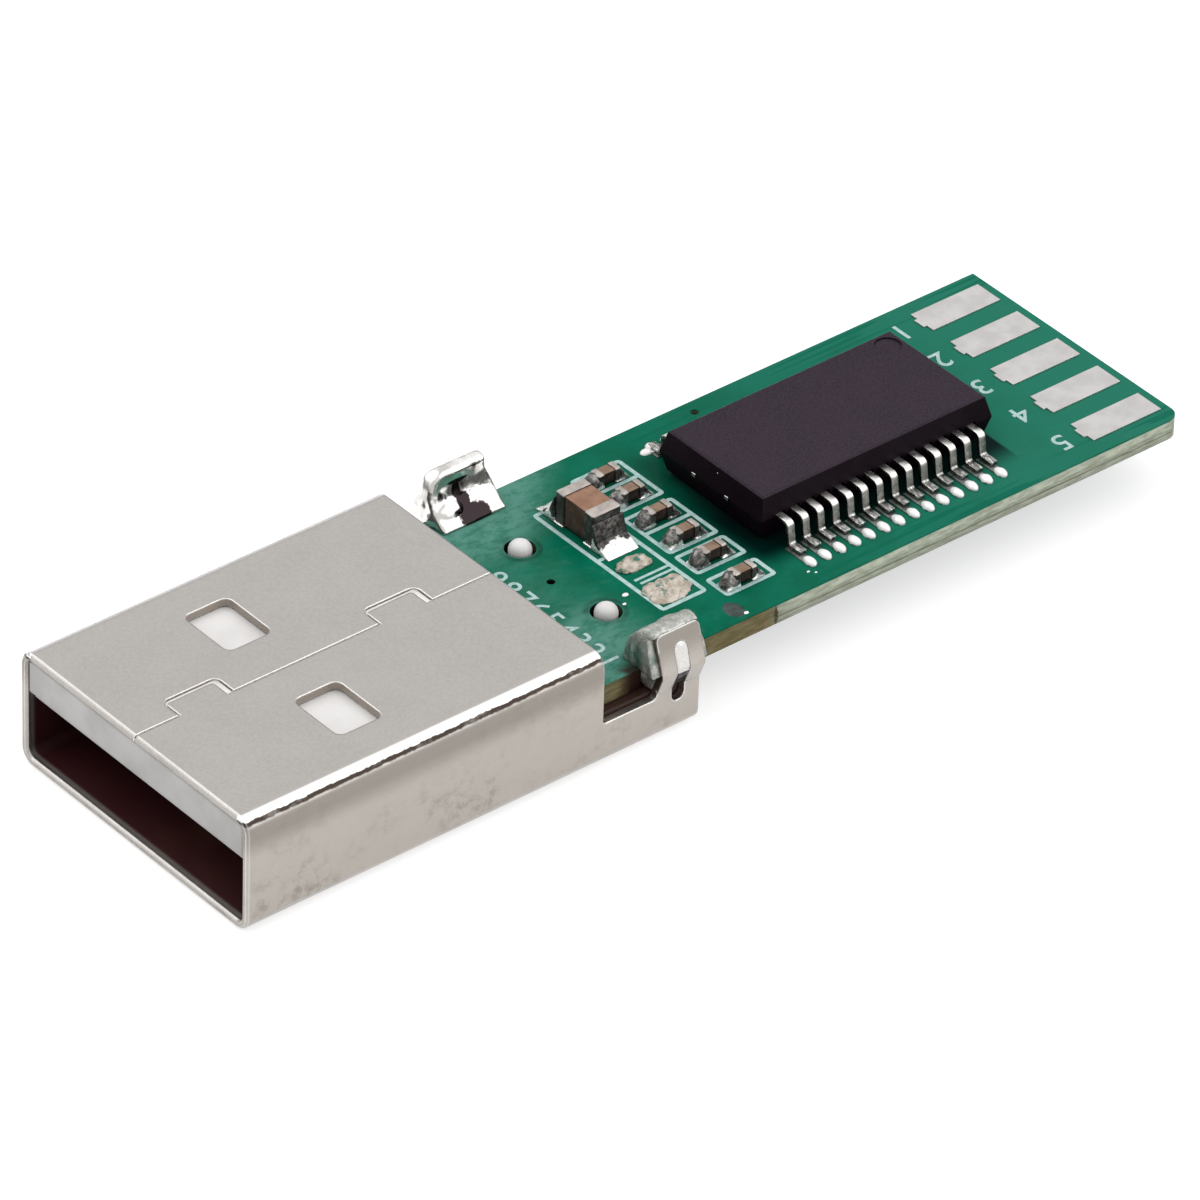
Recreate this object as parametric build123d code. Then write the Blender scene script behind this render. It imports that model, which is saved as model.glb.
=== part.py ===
from build123d import *
import os

# A plug-in serial adapter module: a folded sheet-metal plug on the end of a narrow circuit board
# that carries two chips, their capacitors and the pads for the wires of a cable.
# Lengths are in millimetres. Pieces are laid out with X from the plug's mouth to the wire pads,
# Y across the board and Z up from the plug's flat underside. The finished model is moved along X
# so that its origin lies under the middle of its length.

# Plug shell, folded from one strip of sheet
SHELL_WIDTH = 12.0
SHELL_HEIGHT = 4.5
SHEET = 0.3
BEND_RADIUS = 0.6
FLOOR_LENGTH = 18.85
ROOF_SETBACK = 4.1
MOUTH_CHAMFER = 0.08
REAR_CORNER_RADIUS = 0.35
WINDOW_START = 5.2
WINDOW_LENGTH = 1.85
WINDOW_WIDTH = 2.45
WINDOW_INSET = 3.1
WINDOW_RADIUS = 0.3

# Seam along the roof, where tabs of one edge lock into notches of the other
SEAM_Y = -0.1
SEAM_GAP = 0.05
FRONT_TAB_START = 1.85
REAR_TAB_SETBACK = 4.65
TAB_LENGTH = 1.92
TAB_REACH = 0.78
TAB_RADIUS = 0.12
TAB_REAR_GAP = 0.28
TAB_FAR_GAP = 0.19
NOTCH_RADIUS = 0.3

# Side walls behind the roof, and the two kinked legs that rise from them
WALL_BELOW_BOARD = 0.2
WALL_RADIUS = 0.15
LEG_LENGTH = 1.8
LEG_KNEE_RISE = 0.15
LEG_BULGE = 0.3
LEG_BULGE_BELOW_TOP = 0.05
LEG_TOP_INSET = 0.15
LEG_ABOVE_BOARD = 1.4
LEG_BEND_RADIUS = 0.35
LEG_CORNER_RADIUS = 0.22
SLOT_WIDTH = 0.55
SLOT_BELOW_WALL = 0.42
SLOT_ABOVE_BOARD = 0.95
SLOT_SOLDER_BELOW_BOARD = 0.4

# Circuit board
BOARD_LENGTH = 26.5
BOARD_TUCK = 0.55
BOARD_SIDE_GAP = 0.325
BOARD_THICKNESS = 0.8
BOARD_BELOW_ROOF = 1.75
BOARD_CORNER_RADIUS = 0.5
NEAR_SCORE_BEHIND_SHELL = 3.8
FAR_SCORE_BEHIND_SHELL = 5.65
SCORE_RIDGE = 0.12
SCORE_DEPTH = 0.24
LEG_NOTCH_DEPTH = 0.3
LEG_NOTCH_MARGIN = 0.2
VIA_DIAMETER = 0.3
PEG_VIA_LEAD = 0.39
PEG_VIA_Y = 0.16
CHIP_VIA_LEAD = 1.86
CHIP_VIA_EDGE = 0.575
PAD_THICKNESS = 0.05

# Moulded insulator with its tongue, rear block, base under the board and two locating pegs
INSULATOR_CLEARANCE = 0.04
TONGUE_RECESS = 0.35
TONGUE_THICKNESS = 1.95
TONGUE_CHAMFER = 0.3
CAVITY_SETBACK = 5.15
BOARD_GAP = 0.1
BASE_SETBACK = 0.25
BASE_CLEARANCE = 0.05
PEG_DIAMETER = 0.82
PEG_PROUD = 0.3
PEG_HOLE_CLEARANCE = 0.14

# Spring contacts
CONTACT_WIDTH = 1.0
CONTACT_THICKNESS = 0.2
OUTER_CONTACT_INSET = 2.5
INNER_CONTACT_SHARE = 2 / 7
CONTACT_NAMES = ("outer_contact_near", "inner_contact_near", "inner_contact_far", "outer_contact_far")
POWER_TIP = 1.05
DATA_TIP = 2.05
TIP_RISE = 0.45
TIP_RUN = 0.35
CONTACT_PROUD = 0.05
CONTACT_BEND_RADIUS = 0.15
JOG_BEHIND_CAVITY = 1.4
JOG_LENGTH = 0.8
TAIL_BEHIND_SHELL = 1.45
CHANNEL_CLEARANCE = 0.05

# Wire pads at the board's end
WIRE_PAD_LENGTH = 3.05
WIRE_PAD_WIDTH = 1.18
WIRE_PAD_SIDE_MARGIN = 0.645
WIRE_PAD_SETBACK = 0.35
UPPER_PAD_COUNT = 5
LOWER_PAD_COUNT = 4
PAD_NECK_LENGTH = 0.14
PAD_NECK_WIDTH = 0.5

# Line transceiver on the upper side: a moulded body with gull-wing leads on two sides
CHIP_LENGTH = 10.2
CHIP_WIDTH = 5.3
CHIP_THICKNESS = 1.65
CHIP_STANDOFF = 0.1
CHIP_DRAFT_ANGLE = 14.0
CHIP_EDGE_CHAMFER = 0.06
CHIP_Y = 0.16
DIMPLE_DIAMETER = 0.95
DIMPLE_DEPTH = 0.06
DIMPLE_INSET = 0.85
LEADS_PER_SIDE = 14
LEAD_PITCH = 0.65
LEAD_WIDTH = 0.3
LEAD_THICKNESS = 0.15
LEAD_SPAN = 7.8
LEAD_SHOULDER = 0.33
LEAD_FOOT = 0.62
LEAD_BEND = 0.12
LEAD_ROOT = 0.12
TIE_BAR_WIDTH = 0.22
TIE_BAR_OFFSET = 0.85
TIE_BAR_PROUD = 0.03

# Bus bridge on the underside: a flat body with terminals on four sides
BRIDGE_SIZE = 5.0
BRIDGE_THICKNESS = 0.85
BRIDGE_BEHIND_SUPPLY = 3.9
BRIDGE_CHAMFER = 0.05
TERMINALS_PER_SIDE = 8
TERMINAL_PITCH = 0.5
TERMINAL_WIDTH = 0.24
TERMINAL_LENGTH = 0.4
TERMINAL_THICKNESS = 0.2
THERMAL_PAD = 3.3
TERMINAL_PAD_REACH = 0.3

# Ceramic chip parts as (length, width, height, end band)
SMALL_CHIP = (1.0, 0.5, 0.5, 0.25)
MEDIUM_CHIP = (1.6, 0.8, 0.8, 0.35)
LARGE_CHIP = (1.98, 1.22, 1.25, 0.45)
CHIP_PART_SKIN = 0.04
CHIP_PART_EDGE = 0.05
SMALL_CHIP_YS = (3.5, 2.22, 0.78, -0.64, -2.03, -3.6)
LARGE_CHIP_Y = 1.76
SUPPLY_BEHIND_TAILS = 1.4
BEAD_Y = 3.6
BRIDGE_CAPACITOR_REACH = 4.8
BRIDGE_CAPACITOR_Y = 2.2

# Free length along the board: how much of it lies in front of each row of pieces
FIRST_ROW_WIDTH = 1.7
SECOND_ROW_WIDTH = 1.76
FIRST_ROW_SHARE = 0.157
SECOND_ROW_SHARE = 0.255
CHIP_ROW_SHARE = 0.44

# Solder
SOLDER_FILM = 0.04
CHIP_SOLDER_SHARE = 0.8
CHIP_SOLDER_REACH_SHARE = 0.75
CHIP_SOLDER_HOLLOW_SHARE = 0.3
CHIP_SOLDER_SKIRT = 0.04
LEAD_PAD_WIDTH = 0.42
LEAD_PAD_TOE = 0.49
LEAD_PAD_SHIFT = 0.3
LEAD_PAD_HEEL = 0.3
LEAD_HEEL_HEIGHT = 0.42
BRIDGED_PAD_SETBACK = 0.1
BRIDGED_PADS = ((-0.78, 1.4, 0.66), (-2.5, 1.7, 1.1))
BRIDGED_PAD_HEIGHT = 0.14
TAIL_SOLDER_BEHIND_SHELL = 0.05
TAIL_SOLDER_MARGIN = 0.18
LEG_SOLDER_REAR = 0.2
LEG_SOLDER_REAR_SHARE = 0.7
LEG_SOLDER_SHOULDER_SHARE = 0.5
LEG_SOLDER_DOME = 0.1

# Solder of each leg as (reach in front, foot on the board, rise above the leg, depth at the top, hollow)
FAR_LEG_SOLDER = (0.62, 1.72, 0.22, 0.26, 0.68)
NEAR_LEG_SOLDER = (0.3, 1.35, 0.02, 0.34, 0.32)

# Values that follow from the sizes above
HALF_SHELL = SHELL_WIDTH / 2
ROOF_LENGTH = FLOOR_LENGTH - ROOF_SETBACK
TAB_STARTS = (FRONT_TAB_START, ROOF_LENGTH - REAR_TAB_SETBACK)
BOARD_TOP = SHELL_HEIGHT - BOARD_BELOW_ROOF
BOARD_BOTTOM = BOARD_TOP - BOARD_THICKNESS
BOARD_FRONT = ROOF_LENGTH - BOARD_TUCK
BOARD_END = BOARD_FRONT + BOARD_LENGTH
HALF_BOARD = HALF_SHELL - SHEET - BOARD_SIDE_GAP
WALL_HEIGHT = BOARD_BOTTOM - WALL_BELOW_BOARD
LEG_START = FLOOR_LENGTH - LEG_LENGTH
LEG_MIDDLE = FLOOR_LENGTH - LEG_LENGTH / 2
LEG_BULGE_HEIGHT = BOARD_TOP - LEG_BULGE_BELOW_TOP
LEG_TOP = BOARD_TOP + LEG_ABOVE_BOARD
SLOT_BOTTOM = WALL_HEIGHT - SLOT_BELOW_WALL
SLOT_TOP = BOARD_TOP + SLOT_ABOVE_BOARD
TONGUE_BOTTOM = SHELL_HEIGHT - SHEET - TONGUE_THICKNESS
CAVITY_DEPTH = ROOF_LENGTH - CAVITY_SETBACK
BLOCK_REAR = BOARD_FRONT - BOARD_GAP
BASE_REAR = FLOOR_LENGTH - BASE_SETBACK
BASE_TOP = BOARD_BOTTOM - BASE_CLEARANCE
OUTER_CONTACT_Y = HALF_SHELL - OUTER_CONTACT_INSET
INNER_CONTACT_Y = OUTER_CONTACT_Y * INNER_CONTACT_SHARE
CONTACT_YS = (-OUTER_CONTACT_Y, -INNER_CONTACT_Y, INNER_CONTACT_Y, OUTER_CONTACT_Y)
CONTACT_TOP = TONGUE_BOTTOM - CONTACT_PROUD + CONTACT_THICKNESS
TAIL_TOP = BOARD_BOTTOM - PAD_THICKNESS
TAIL_END = FLOOR_LENGTH + TAIL_BEHIND_SHELL
PEG_Y = (OUTER_CONTACT_Y + INNER_CONTACT_Y) / 2
WIRE_PAD_PITCH = 2 * (HALF_BOARD - WIRE_PAD_SIDE_MARGIN - WIRE_PAD_WIDTH / 2) / (UPPER_PAD_COUNT - 1)
ROWS_END = BOARD_END - WIRE_PAD_SETBACK - WIRE_PAD_LENGTH
FREE_LENGTH = ROWS_END - FLOOR_LENGTH - FIRST_ROW_WIDTH - SECOND_ROW_WIDTH - CHIP_LENGTH
FIRST_ROW_X = FLOOR_LENGTH + FIRST_ROW_SHARE * FREE_LENGTH + FIRST_ROW_WIDTH / 2
SECOND_ROW_X = FLOOR_LENGTH + FIRST_ROW_WIDTH + SECOND_ROW_SHARE * FREE_LENGTH + SECOND_ROW_WIDTH / 2
CHIP_X = ROWS_END - (1 - CHIP_ROW_SHARE) * FREE_LENGTH - CHIP_LENGTH / 2
SUPPLY_X = TAIL_END + SUPPLY_BEHIND_TAILS
BRIDGE_X = SUPPLY_X + BRIDGE_BEHIND_SUPPLY
CHIP_MIDDLE = BOARD_TOP + CHIP_STANDOFF + CHIP_THICKNESS / 2
PAST = 1.0
ACROSS = (-SHELL_WIDTH, SHELL_WIDTH)


def block(x, y, z):
    """Box between a low and a high limit along each axis."""
    centre = Pos((x[0] + x[1]) / 2, (y[0] + y[1]) / 2, (z[0] + z[1]) / 2)
    return centre * Box(x[1] - x[0], y[1] - y[0], z[1] - z[0])


def both_sides(piece):
    """A piece and its mirror image across the board's middle."""
    return [piece, mirror(piece, about=Plane.XZ)]


def shell_section(inset, radius):
    """Rounded section of the shell, drawn across X and drawn in by an inset."""
    outline = RectangleRounded(SHELL_WIDTH - 2 * inset, SHELL_HEIGHT - 2 * inset, radius)
    return Plane.YZ * Pos(0, SHELL_HEIGHT / 2) * outline


def side_prism(outline, half_width):
    """Outline drawn in X and Z, carried through the part to both sides."""
    return extrude(Plane.XZ * outline, amount=half_width, both=True)


def folded_tube():
    """Closed box section of the plug, broken at its mouth's edges, before its seam is cut."""
    outer = shell_section(0, BEND_RADIUS)
    inner = shell_section(SHEET, BEND_RADIUS - SHEET)
    tube = extrude(outer - inner, amount=FLOOR_LENGTH)
    return chamfer(tube.edges().group_by(Axis.X)[0], MOUTH_CHAMFER)


def rear_cut():
    """What is cut away behind the roof: the gap in front of the legs and all above the walls."""
    height = SHELL_HEIGHT + PAST - WALL_HEIGHT
    width = LEG_START - ROOF_LENGTH
    outline = RectangleRounded(width, height, WALL_RADIUS)
    gap = side_prism(Pos(ROOF_LENGTH + width / 2, WALL_HEIGHT + height / 2) * outline, SHELL_WIDTH)
    return gap + block((LEG_START, FLOOR_LENGTH + PAST), ACROSS, (WALL_HEIGHT, SHELL_HEIGHT + PAST))


def rear_corner_cut():
    """Rounding of the lower rear corner, seen from the side."""
    radius = REAR_CORNER_RADIUS
    corner = Pos(FLOOR_LENGTH - radius / 2, radius / 2) * Rectangle(radius, radius)
    corner -= Pos(FLOOR_LENGTH - radius, radius) * Circle(radius)
    return side_prism(corner, SHELL_WIDTH)


def windows():
    """Latch windows through the roof and the floor, one pair side by side."""
    opening = extrude(RectangleRounded(WINDOW_LENGTH, WINDOW_WIDTH, WINDOW_RADIUS), SHELL_HEIGHT + 2 * PAST)
    return both_sides(Pos(WINDOW_START + WINDOW_LENGTH / 2, HALF_SHELL - WINDOW_INSET, -PAST) * opening)


def seam():
    """Gap between the strip's two edges, with the tabs of one edge inside notches of the other."""
    near_edge = SEAM_Y - SEAM_GAP / 2
    gap = Pos(ROOF_LENGTH / 2, SEAM_Y) * Rectangle(ROOF_LENGTH + 2 * PAST, SEAM_GAP)
    for start in TAB_STARTS:
        notch_length = TAB_LENGTH + TAB_REAR_GAP + SEAM_GAP
        notch_reach = TAB_REACH + TAB_FAR_GAP
        notch = Pos(start - SEAM_GAP + notch_length / 2, near_edge) * RectangleRounded(
            notch_length, 2 * notch_reach, NOTCH_RADIUS)
        tab = Pos(start + TAB_LENGTH / 2, near_edge) * RectangleRounded(TAB_LENGTH, 2 * TAB_REACH, TAB_RADIUS)
        near_half = Pos(start + TAB_LENGTH / 2, near_edge - SHELL_WIDTH / 2) * Rectangle(
            notch_length + 2 * PAST, SHELL_WIDTH)
        gap += notch - near_half
        gap -= tab
    return extrude(Pos(0, 0, SHELL_HEIGHT - SHEET - PAST / 4) * gap, SHEET + PAST)


def leg_face(z):
    """Y of a leg's outer face above its bulge, where it leans back in towards the board."""
    slope = (LEG_BULGE + LEG_TOP_INSET) / (LEG_TOP - LEG_BULGE_HEIGHT)
    return HALF_SHELL + LEG_BULGE - slope * (z - LEG_BULGE_HEIGHT)


def leg_strip():
    """Leg before its slot is cut: a kinked strip of the sheet, as long as the leg along X."""
    outer_face = FilletPolyline(
        (HALF_SHELL, WALL_HEIGHT - WALL_RADIUS),
        (HALF_SHELL, WALL_HEIGHT + LEG_KNEE_RISE),
        (HALF_SHELL + LEG_BULGE, LEG_BULGE_HEIGHT),
        (leg_face(LEG_TOP + PAST), LEG_TOP + PAST),
        radius=LEG_BEND_RADIUS,
    )
    section = make_face(offset(outer_face, amount=SHEET, side=Side.LEFT, closed=True))
    strip = extrude(Plane.YZ * section, amount=FLOOR_LENGTH)
    outline = Pos(LEG_MIDDLE, 0) * RectangleRounded(LEG_LENGTH, 2 * LEG_TOP, LEG_CORNER_RADIUS)
    return strip & side_prism(outline, SHELL_WIDTH)


def slot_prism(bottom):
    """Oblong slot of the legs, through both of them, from a given height up."""
    outline = Pos(LEG_MIDDLE, (SLOT_BOTTOM + SLOT_TOP) / 2) * SlotOverall(
        SLOT_TOP - SLOT_BOTTOM, SLOT_WIDTH, rotation=90)
    above = block((LEG_START, FLOOR_LENGTH), ACROSS, (bottom, SHELL_HEIGHT))
    return side_prism(outline, SHELL_WIDTH) & above


def plug_shell():
    """The folded shell: box section, seam, windows, low rear walls and slotted legs."""
    shell = folded_tube() - rear_cut() - rear_corner_cut()
    for leg in both_sides(leg_strip()):
        shell += leg
    shell -= slot_prism(SLOT_BOTTOM)
    shell -= seam()
    for window in windows():
        shell -= window
    return shell


def channels(clearance):
    """Room for the four contacts: grooves under the tongue, ways through the block and the base."""
    floor = TAIL_TOP - CONTACT_THICKNESS - clearance
    cuts = []
    for y, tip in contact_places():
        sides = (y - CONTACT_WIDTH / 2 - clearance, y + CONTACT_WIDTH / 2 + clearance)
        front = tip - CONTACT_THICKNESS - clearance
        pocket_top = CONTACT_TOP + TIP_RISE + clearance
        cuts += [
            block((front, CAVITY_DEPTH), sides, (TONGUE_BOTTOM - PAST, CONTACT_TOP)),
            block((front, tip + TIP_RUN + clearance), sides, (TONGUE_BOTTOM, pocket_top)),
            block((CAVITY_DEPTH - PAST, BASE_REAR + PAST), sides, (floor, CONTACT_TOP)),
        ]
    return cuts


def peg():
    """Locating peg with a domed head that stands through the board."""
    height = BOARD_TOP + PEG_PROUD - BASE_TOP
    pin = Pos(LEG_MIDDLE, PEG_Y, BASE_TOP + height / 2) * Cylinder(PEG_DIAMETER / 2, height + PAST / 2)
    pin = Pos(0, 0, -PAST / 4) * pin
    return fillet(pin.edges().group_by(Axis.Z)[-1], PEG_DIAMETER * 0.4)


def plug_insulator():
    """One moulding: tongue in the plug, block behind it and base with pegs under the board."""
    section = shell_section(SHEET + INSULATOR_CLEARANCE, BEND_RADIUS - SHEET)
    body = Pos(TONGUE_RECESS, 0, 0) * extrude(section, amount=BASE_REAR - TONGUE_RECESS)
    body -= block((0, CAVITY_DEPTH), ACROSS, (0, TONGUE_BOTTOM))
    body -= block((BLOCK_REAR, BASE_REAR + PAST), ACROSS, (BASE_TOP, SHELL_HEIGHT))
    lip = body.edges().filter_by(Axis.Y).sort_by_distance((TONGUE_RECESS, 0, TONGUE_BOTTOM))[0]
    body = chamfer(lip, TONGUE_CHAMFER)
    for cut in channels(CHANNEL_CLEARANCE):
        body -= cut
    for pin in both_sides(peg()):
        body += pin
    return body


def contact_places():
    """Y place and tip of each contact: the outer two carry power and reach further forward."""
    return [(y, POWER_TIP if abs(y) == OUTER_CONTACT_Y else DATA_TIP) for y in CONTACT_YS]


def contact(y, tip):
    """Contact strip: raised tip, flat under the tongue, a jog down and a tail under the board."""
    upper_face = FilletPolyline(
        (tip, CONTACT_TOP + TIP_RISE),
        (tip + TIP_RUN, CONTACT_TOP),
        (CAVITY_DEPTH + JOG_BEHIND_CAVITY, CONTACT_TOP),
        (CAVITY_DEPTH + JOG_BEHIND_CAVITY + JOG_LENGTH, TAIL_TOP),
        (TAIL_END, TAIL_TOP),
        radius=CONTACT_BEND_RADIUS,
    )
    section = make_face(offset(upper_face, amount=CONTACT_THICKNESS, side=Side.RIGHT, closed=True))
    strip = extrude(Plane.XZ * section, amount=CONTACT_WIDTH / 2, both=True)
    return Pos(0, y, 0) * strip


def scored_edge(x_start, x_end):
    """Ridge that a score line leaves along the middle of a snapped board edge."""
    middle = (BOARD_TOP + BOARD_BOTTOM) / 2
    half = BOARD_THICKNESS / 2
    section = make_face(Polyline(
        (HALF_BOARD - SCORE_RIDGE, middle + half),
        (HALF_BOARD, middle + half),
        (HALF_BOARD + SCORE_RIDGE, middle + half - SCORE_DEPTH),
        (HALF_BOARD + SCORE_RIDGE, middle - half + SCORE_DEPTH),
        (HALF_BOARD, middle - half),
        (HALF_BOARD - SCORE_RIDGE, middle - half),
        close=True,
    ))
    return Pos(x_start, 0, 0) * extrude(Plane.YZ * section, amount=x_end - x_start)


def leg_notch():
    """Notch in the board's edge that the leg's solder fills."""
    length = LEG_LENGTH + 2 * LEG_NOTCH_MARGIN
    outline = RectangleRounded(length, 2 * LEG_NOTCH_DEPTH, LEG_NOTCH_DEPTH * 0.6)
    notch = extrude(outline, BOARD_THICKNESS + 2 * PAST)
    return Pos(LEG_MIDDLE, HALF_BOARD, BOARD_BOTTOM - PAST) * notch


def circuit_board():
    """Bare board with scored long edges, leg notches, peg holes and vias."""
    plate = block((BOARD_FRONT, BOARD_END), (-HALF_BOARD, HALF_BOARD), (BOARD_BOTTOM, BOARD_TOP))
    near_corner = plate.edges().filter_by(Axis.Z).sort_by_distance((BOARD_END, -HALF_BOARD, BOARD_TOP))[0]
    plate = fillet(near_corner, BOARD_CORNER_RADIUS)
    plate += scored_edge(FLOOR_LENGTH + FAR_SCORE_BEHIND_SHELL, BOARD_END)
    near_ridge = scored_edge(FLOOR_LENGTH + NEAR_SCORE_BEHIND_SHELL, BOARD_END - BOARD_CORNER_RADIUS)
    plate += mirror(near_ridge, about=Plane.XZ)
    drill = Cylinder(PEG_DIAMETER / 2 + PEG_HOLE_CLEARANCE, 4 * BOARD_THICKNESS)
    peg_hole = Pos(LEG_MIDDLE, PEG_Y, BOARD_TOP) * drill
    for cut in both_sides(leg_notch()) + both_sides(peg_hole):
        plate -= cut
    peg_via = (LEG_MIDDLE - PEG_VIA_LEAD, PEG_VIA_Y)
    chip_via = (CHIP_X - CHIP_VIA_LEAD, HALF_BOARD - CHIP_VIA_EDGE)
    for x, y in (peg_via, chip_via):
        plate -= Pos(x, y, BOARD_TOP) * Cylinder(VIA_DIAMETER / 2, 4 * BOARD_THICKNESS)
    return plate


def wire_pads(count, z):
    """Row of tinned pads near the board's end, each with a short neck where its track leaves."""
    rear = BOARD_END - WIRE_PAD_SETBACK
    pads = []
    for index in range(count):
        y = (index - (count - 1) / 2) * WIRE_PAD_PITCH
        pad = block((rear - WIRE_PAD_LENGTH, rear), (y - WIRE_PAD_WIDTH / 2, y + WIRE_PAD_WIDTH / 2),
                    (z, z + PAD_THICKNESS))
        neck = block((rear - WIRE_PAD_LENGTH - PAD_NECK_LENGTH, rear - WIRE_PAD_LENGTH),
                     (y - PAD_NECK_WIDTH / 2, y + PAD_NECK_WIDTH / 2), (z, z + PAD_THICKNESS))
        pads.append(pad + neck)
    return pads


def chip_lead():
    """One gull-wing lead on the far side, centred on X = 0 and Y = 0 of its chip."""
    root_top = CHIP_MIDDLE + LEAD_THICKNESS / 2
    foot_top = BOARD_TOP + PAD_THICKNESS + LEAD_THICKNESS
    shoulder = CHIP_WIDTH / 2 + LEAD_SHOULDER
    heel = LEAD_SPAN / 2 - LEAD_FOOT
    upper_face = Polyline(
        (CHIP_WIDTH / 2 - LEAD_ROOT, root_top),
        (shoulder, root_top),
        (shoulder + LEAD_BEND, root_top - LEAD_BEND),
        (heel - LEAD_BEND, foot_top + LEAD_BEND),
        (heel, foot_top),
        (LEAD_SPAN / 2, foot_top),
    )
    strip = offset(upper_face, amount=LEAD_THICKNESS, side=Side.RIGHT, closed=True, kind=Kind.INTERSECTION)
    return extrude(Plane.YZ * make_face(strip), amount=LEAD_WIDTH / 2, both=True)


def lead_offsets():
    """X places of the leads, from the chip's middle."""
    return [(index - (LEADS_PER_SIDE - 1) / 2) * LEAD_PITCH for index in range(LEADS_PER_SIDE)]


def tie_bars():
    """Cut ends of the lead frame's tie bars, in the middle of the body's two short ends."""
    half = CHIP_LENGTH / 2
    bar = block((half - LEAD_ROOT, half + TIE_BAR_PROUD),
                (TIE_BAR_OFFSET - TIE_BAR_WIDTH / 2, TIE_BAR_OFFSET + TIE_BAR_WIDTH / 2),
                (CHIP_MIDDLE - LEAD_THICKNESS / 2, CHIP_MIDDLE + LEAD_THICKNESS / 2))
    rear = both_sides(bar)
    return rear + [mirror(piece, about=Plane.YZ) for piece in rear]


def transceiver_leads():
    """All leads and tie bars of the transceiver, about the chip's own middle."""
    lead = chip_lead()
    leads = [Pos(x, 0, 0) * side for x in lead_offsets() for side in both_sides(lead)]
    return leads + tie_bars()


def transceiver_body(leads):
    """Moulded body, drafted both ways from its parting line, with a dimple beside the first lead."""
    half = extrude(Rectangle(CHIP_LENGTH, CHIP_WIDTH), amount=CHIP_THICKNESS / 2, taper=CHIP_DRAFT_ANGLE)
    half = chamfer(half.edges().group_by(Axis.Z)[-1], CHIP_EDGE_CHAMFER)
    body = Pos(0, 0, CHIP_MIDDLE) * (half + mirror(half, about=Plane.XY))
    top = CHIP_MIDDLE + CHIP_THICKNESS / 2
    place = Pos(CHIP_LENGTH / 2 - DIMPLE_INSET, CHIP_WIDTH / 2 - DIMPLE_INSET, top - DIMPLE_DEPTH / 2)
    body -= place * Cylinder(DIMPLE_DIAMETER / 2, DIMPLE_DEPTH)
    for lead in leads:
        body -= lead
    return body


def lead_solder(lead, toe_length):
    """Solder round one lead's foot: a rounded toe, low sides and a heel that climbs the bend."""
    foot_end = LEAD_SPAN / 2
    toe = foot_end + toe_length
    heel = foot_end - LEAD_FOOT - LEAD_PAD_HEEL
    film = BOARD_TOP + PAD_THICKNESS / 2
    top = BOARD_TOP + PAD_THICKNESS + LEAD_THICKNESS
    section = make_face(Polyline(
        (heel, BOARD_TOP),
        (toe, BOARD_TOP),
        (toe - toe_length / 6, film + LEAD_THICKNESS / 2),
        (toe - toe_length / 2, top),
        (foot_end, top - LEAD_THICKNESS / 4),
        (foot_end - LEAD_FOOT / 2, film + LEAD_THICKNESS / 2),
        (heel + LEAD_PAD_HEEL / 2, top + LEAD_HEEL_HEIGHT / 2),
        close=True,
    ))
    return extrude(Plane.YZ * section, amount=LEAD_PAD_WIDTH / 2, both=True) - lead


def bridge_terminals():
    """Edge terminals and thermal pad of the bridge, flush with the face towards the board."""
    z = (BOARD_BOTTOM - PAD_THICKNESS - TERMINAL_THICKNESS, BOARD_BOTTOM - PAD_THICKNESS)
    edge = BRIDGE_SIZE / 2
    pieces = [block((-THERMAL_PAD / 2, THERMAL_PAD / 2), (-THERMAL_PAD / 2, THERMAL_PAD / 2), z)]
    for index in range(TERMINALS_PER_SIDE):
        along = (index - (TERMINALS_PER_SIDE - 1) / 2) * TERMINAL_PITCH
        sides = (along - TERMINAL_WIDTH / 2, along + TERMINAL_WIDTH / 2)
        terminal = block((edge - TERMINAL_LENGTH, edge), sides, z)
        pieces += [Rot(0, 0, turn) * terminal for turn in (0, 90, 180, 270)]
    return pieces


def bridge_body(terminals):
    """Flat moulded body of the bridge with its terminals let into it."""
    top = BOARD_BOTTOM - PAD_THICKNESS
    edge = BRIDGE_SIZE / 2
    body = block((-edge, edge), (-edge, edge), (top - BRIDGE_THICKNESS, top))
    body = chamfer(body.edges().group_by(Axis.Z)[0], BRIDGE_CHAMFER)
    for terminal in terminals:
        body -= terminal
    return body


def bridge_solder():
    """Solder films under the bridge's terminals and thermal pad, the outer ones past its edge."""
    z = (BOARD_BOTTOM - PAD_THICKNESS, BOARD_BOTTOM)
    edge = BRIDGE_SIZE / 2
    films = [block((-THERMAL_PAD / 2, THERMAL_PAD / 2), (-THERMAL_PAD / 2, THERMAL_PAD / 2), z)]
    for index in range(TERMINALS_PER_SIDE):
        along = (index - (TERMINALS_PER_SIDE - 1) / 2) * TERMINAL_PITCH
        film = block((edge - TERMINAL_LENGTH, edge + TERMINAL_PAD_REACH),
                     (along - TERMINAL_WIDTH / 2, along + TERMINAL_WIDTH / 2), z)
        films += [Rot(0, 0, turn) * film for turn in (0, 90, 180, 270)]
    return films


def chip_part(size):
    """Ceramic block along X with a metal cap round each end, standing on Z = 0."""
    length, width, height, band = size
    skin = CHIP_PART_SKIN
    lift = Pos(0, 0, height / 2)
    whole = chamfer(Box(length, width, height).edges(), CHIP_PART_EDGE)
    core = Box(length - 2 * skin, width - 2 * skin, height - 2 * skin)
    end_zone = Pos(length / 2, 0, 0) * Box(2 * band, 2 * width, 2 * height)
    cap = whole & end_zone
    cap -= core
    return lift * core, [lift * cap, lift * mirror(cap, about=Plane.YZ)]


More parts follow.
